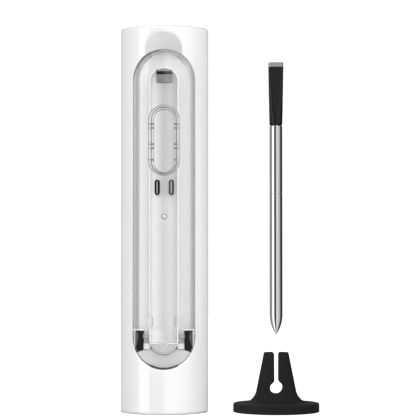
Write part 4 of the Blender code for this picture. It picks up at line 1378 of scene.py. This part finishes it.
def bands_of_light(tree, stops):
    """Brightness by the direction round the object, from (degrees, level) stops. 0 degrees is in
    front of the dock, and positive is towards +X."""
    back = maths(tree, "MULTIPLY", sky_axis(tree, "Y"), -1)
    turn = maths(tree, "ARCTAN2", sky_axis(tree, "X"), back)
    bands = node(tree, "ValToRGB", "Color", {"Fac": mapped(tree, turn, 0, 1, -math.pi, math.pi)})
    ramp = bands.node.color_ramp
    ramp.elements.remove(ramp.elements[0])
    ramp.elements[0].position = 0.0
    for i, (degrees, level) in enumerate(stops):
        stop = ramp.elements.new((degrees + 180) / 360) if i else ramp.elements[0]
        stop.color = (level / BAND_LEVEL,) * 3 + (1,)
    return bands


def make_world():
    """A white studio: plain for diffuse light, with softboxes and dark gaps in reflections."""
    world = bpy.data.worlds.new("studio")
    bpy.context.scene.world = world
    world.use_nodes = True
    tree = world.node_tree
    tree.nodes.clear()

    def background(colour, strength):
        return node(tree, "Background", "Background", {"Color": colour, "Strength": strength})

    def chosen(ray, other, seen):
        test = node(tree, "LightPath", ray)
        return node(tree, "MixShader", "Shader", {0: test, 1: other, 2: seen})

    higher = mapped(tree, sky_axis(tree, "Z"), 0.75, 1.25, -1, 1)
    plain = background(scaled(tree, bands_of_light(tree, PLAIN_BANDS), higher), BAND_LEVEL)
    glossy = background(bands_of_light(tree, GLOSSY_BANDS), BAND_LEVEL)
    lit = chosen("Is Glossy Ray", plain, glossy)
    seen = chosen("Is Camera Ray", lit, background((1, 1, 1, 1), 1.1))
    fill(tree, tree.nodes.new("ShaderNodeOutputWorld"), {"Surface": seen})


def add_area(name, place, aim, size, power):
    light = bpy.data.lights.new(name, "AREA")
    light.shape = "RECTANGLE"
    light.size, light.size_y = size
    light.energy = power
    made = bpy.data.objects.new(name, light)
    made.location = place
    made.rotation_mode = "QUATERNION"
    made.rotation_quaternion = (Vector(aim) - Vector(place)).to_track_quat("-Z", "Y")
    made.visible_glossy = False
    bpy.context.scene.collection.objects.link(made)


def make_stage():
    scene = bpy.context.scene
    scene.view_settings.view_transform = "Standard"
    make_world()
    add_area("key_light", (0.3, -1.1, 0.3), (0.02, 0, 0.11), (0.7, 0.5), 1.9)
    add_area("fill_light", (-0.9, -0.6, 0.5), (0.02, 0, 0.09), (0.5, 0.8), 0.6)

    mesh = bmesh.new()
    bmesh.ops.create_grid(mesh, x_segments=24, y_segments=24, size=1.5)
    bmesh.ops.translate(mesh, verts=mesh.verts, vec=(0, 0, -0.02 * MM))
    data = bpy.data.meshes.new("studio_floor")
    mesh.to_mesh(data)
    mesh.free()
    floor = bpy.data.objects.new("studio_floor", data)
    floor.visible_glossy = False
    scene.collection.objects.link(floor)
    made, tree, shader = new_material("pale_floor")
    camera_ray = node(tree, "LightPath", "Is Camera Ray")
    fill(tree, shader, {
        "Base Color": tinted(tree, noise(tree, 3, 2), (0.48,) * 3, (0.5,) * 3),
        "Roughness": 0.9,
        "Specular IOR Level": 0.1,
        "Emission Color": (1, 1, 1, 1),
        "Emission Strength": mapped(tree, camera_ray, 0.0, 0.8, 0, 1),
    })
    data.materials.append(made)


def make_camera():
    data = bpy.data.cameras.new("camera")
    data.sensor_width = 36
    data.lens = 150.84
    data.clip_start, data.clip_end = 0.01, 20
    camera = bpy.data.objects.new("camera", data)
    camera.location = mm(20.4, -817.7, 69)
    camera.rotation_euler = (math.radians(90 + 1.87), 0, 0)
    bpy.context.scene.collection.objects.link(camera)
    bpy.context.scene.camera = camera


def corners(bounds):
    return [list(bounds[0]), list(bounds[1])]


def main():
    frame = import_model()
    make_materials()
    make_case()
    make_tray()
    make_trim()
    make_lid()
    make_ring()
    make_hinge()
    make_cradles()
    make_contacts()
    make_springs()
    make_probe()
    make_holder()
    dress_nodes(frame)
    make_stage()
    make_camera()


main()
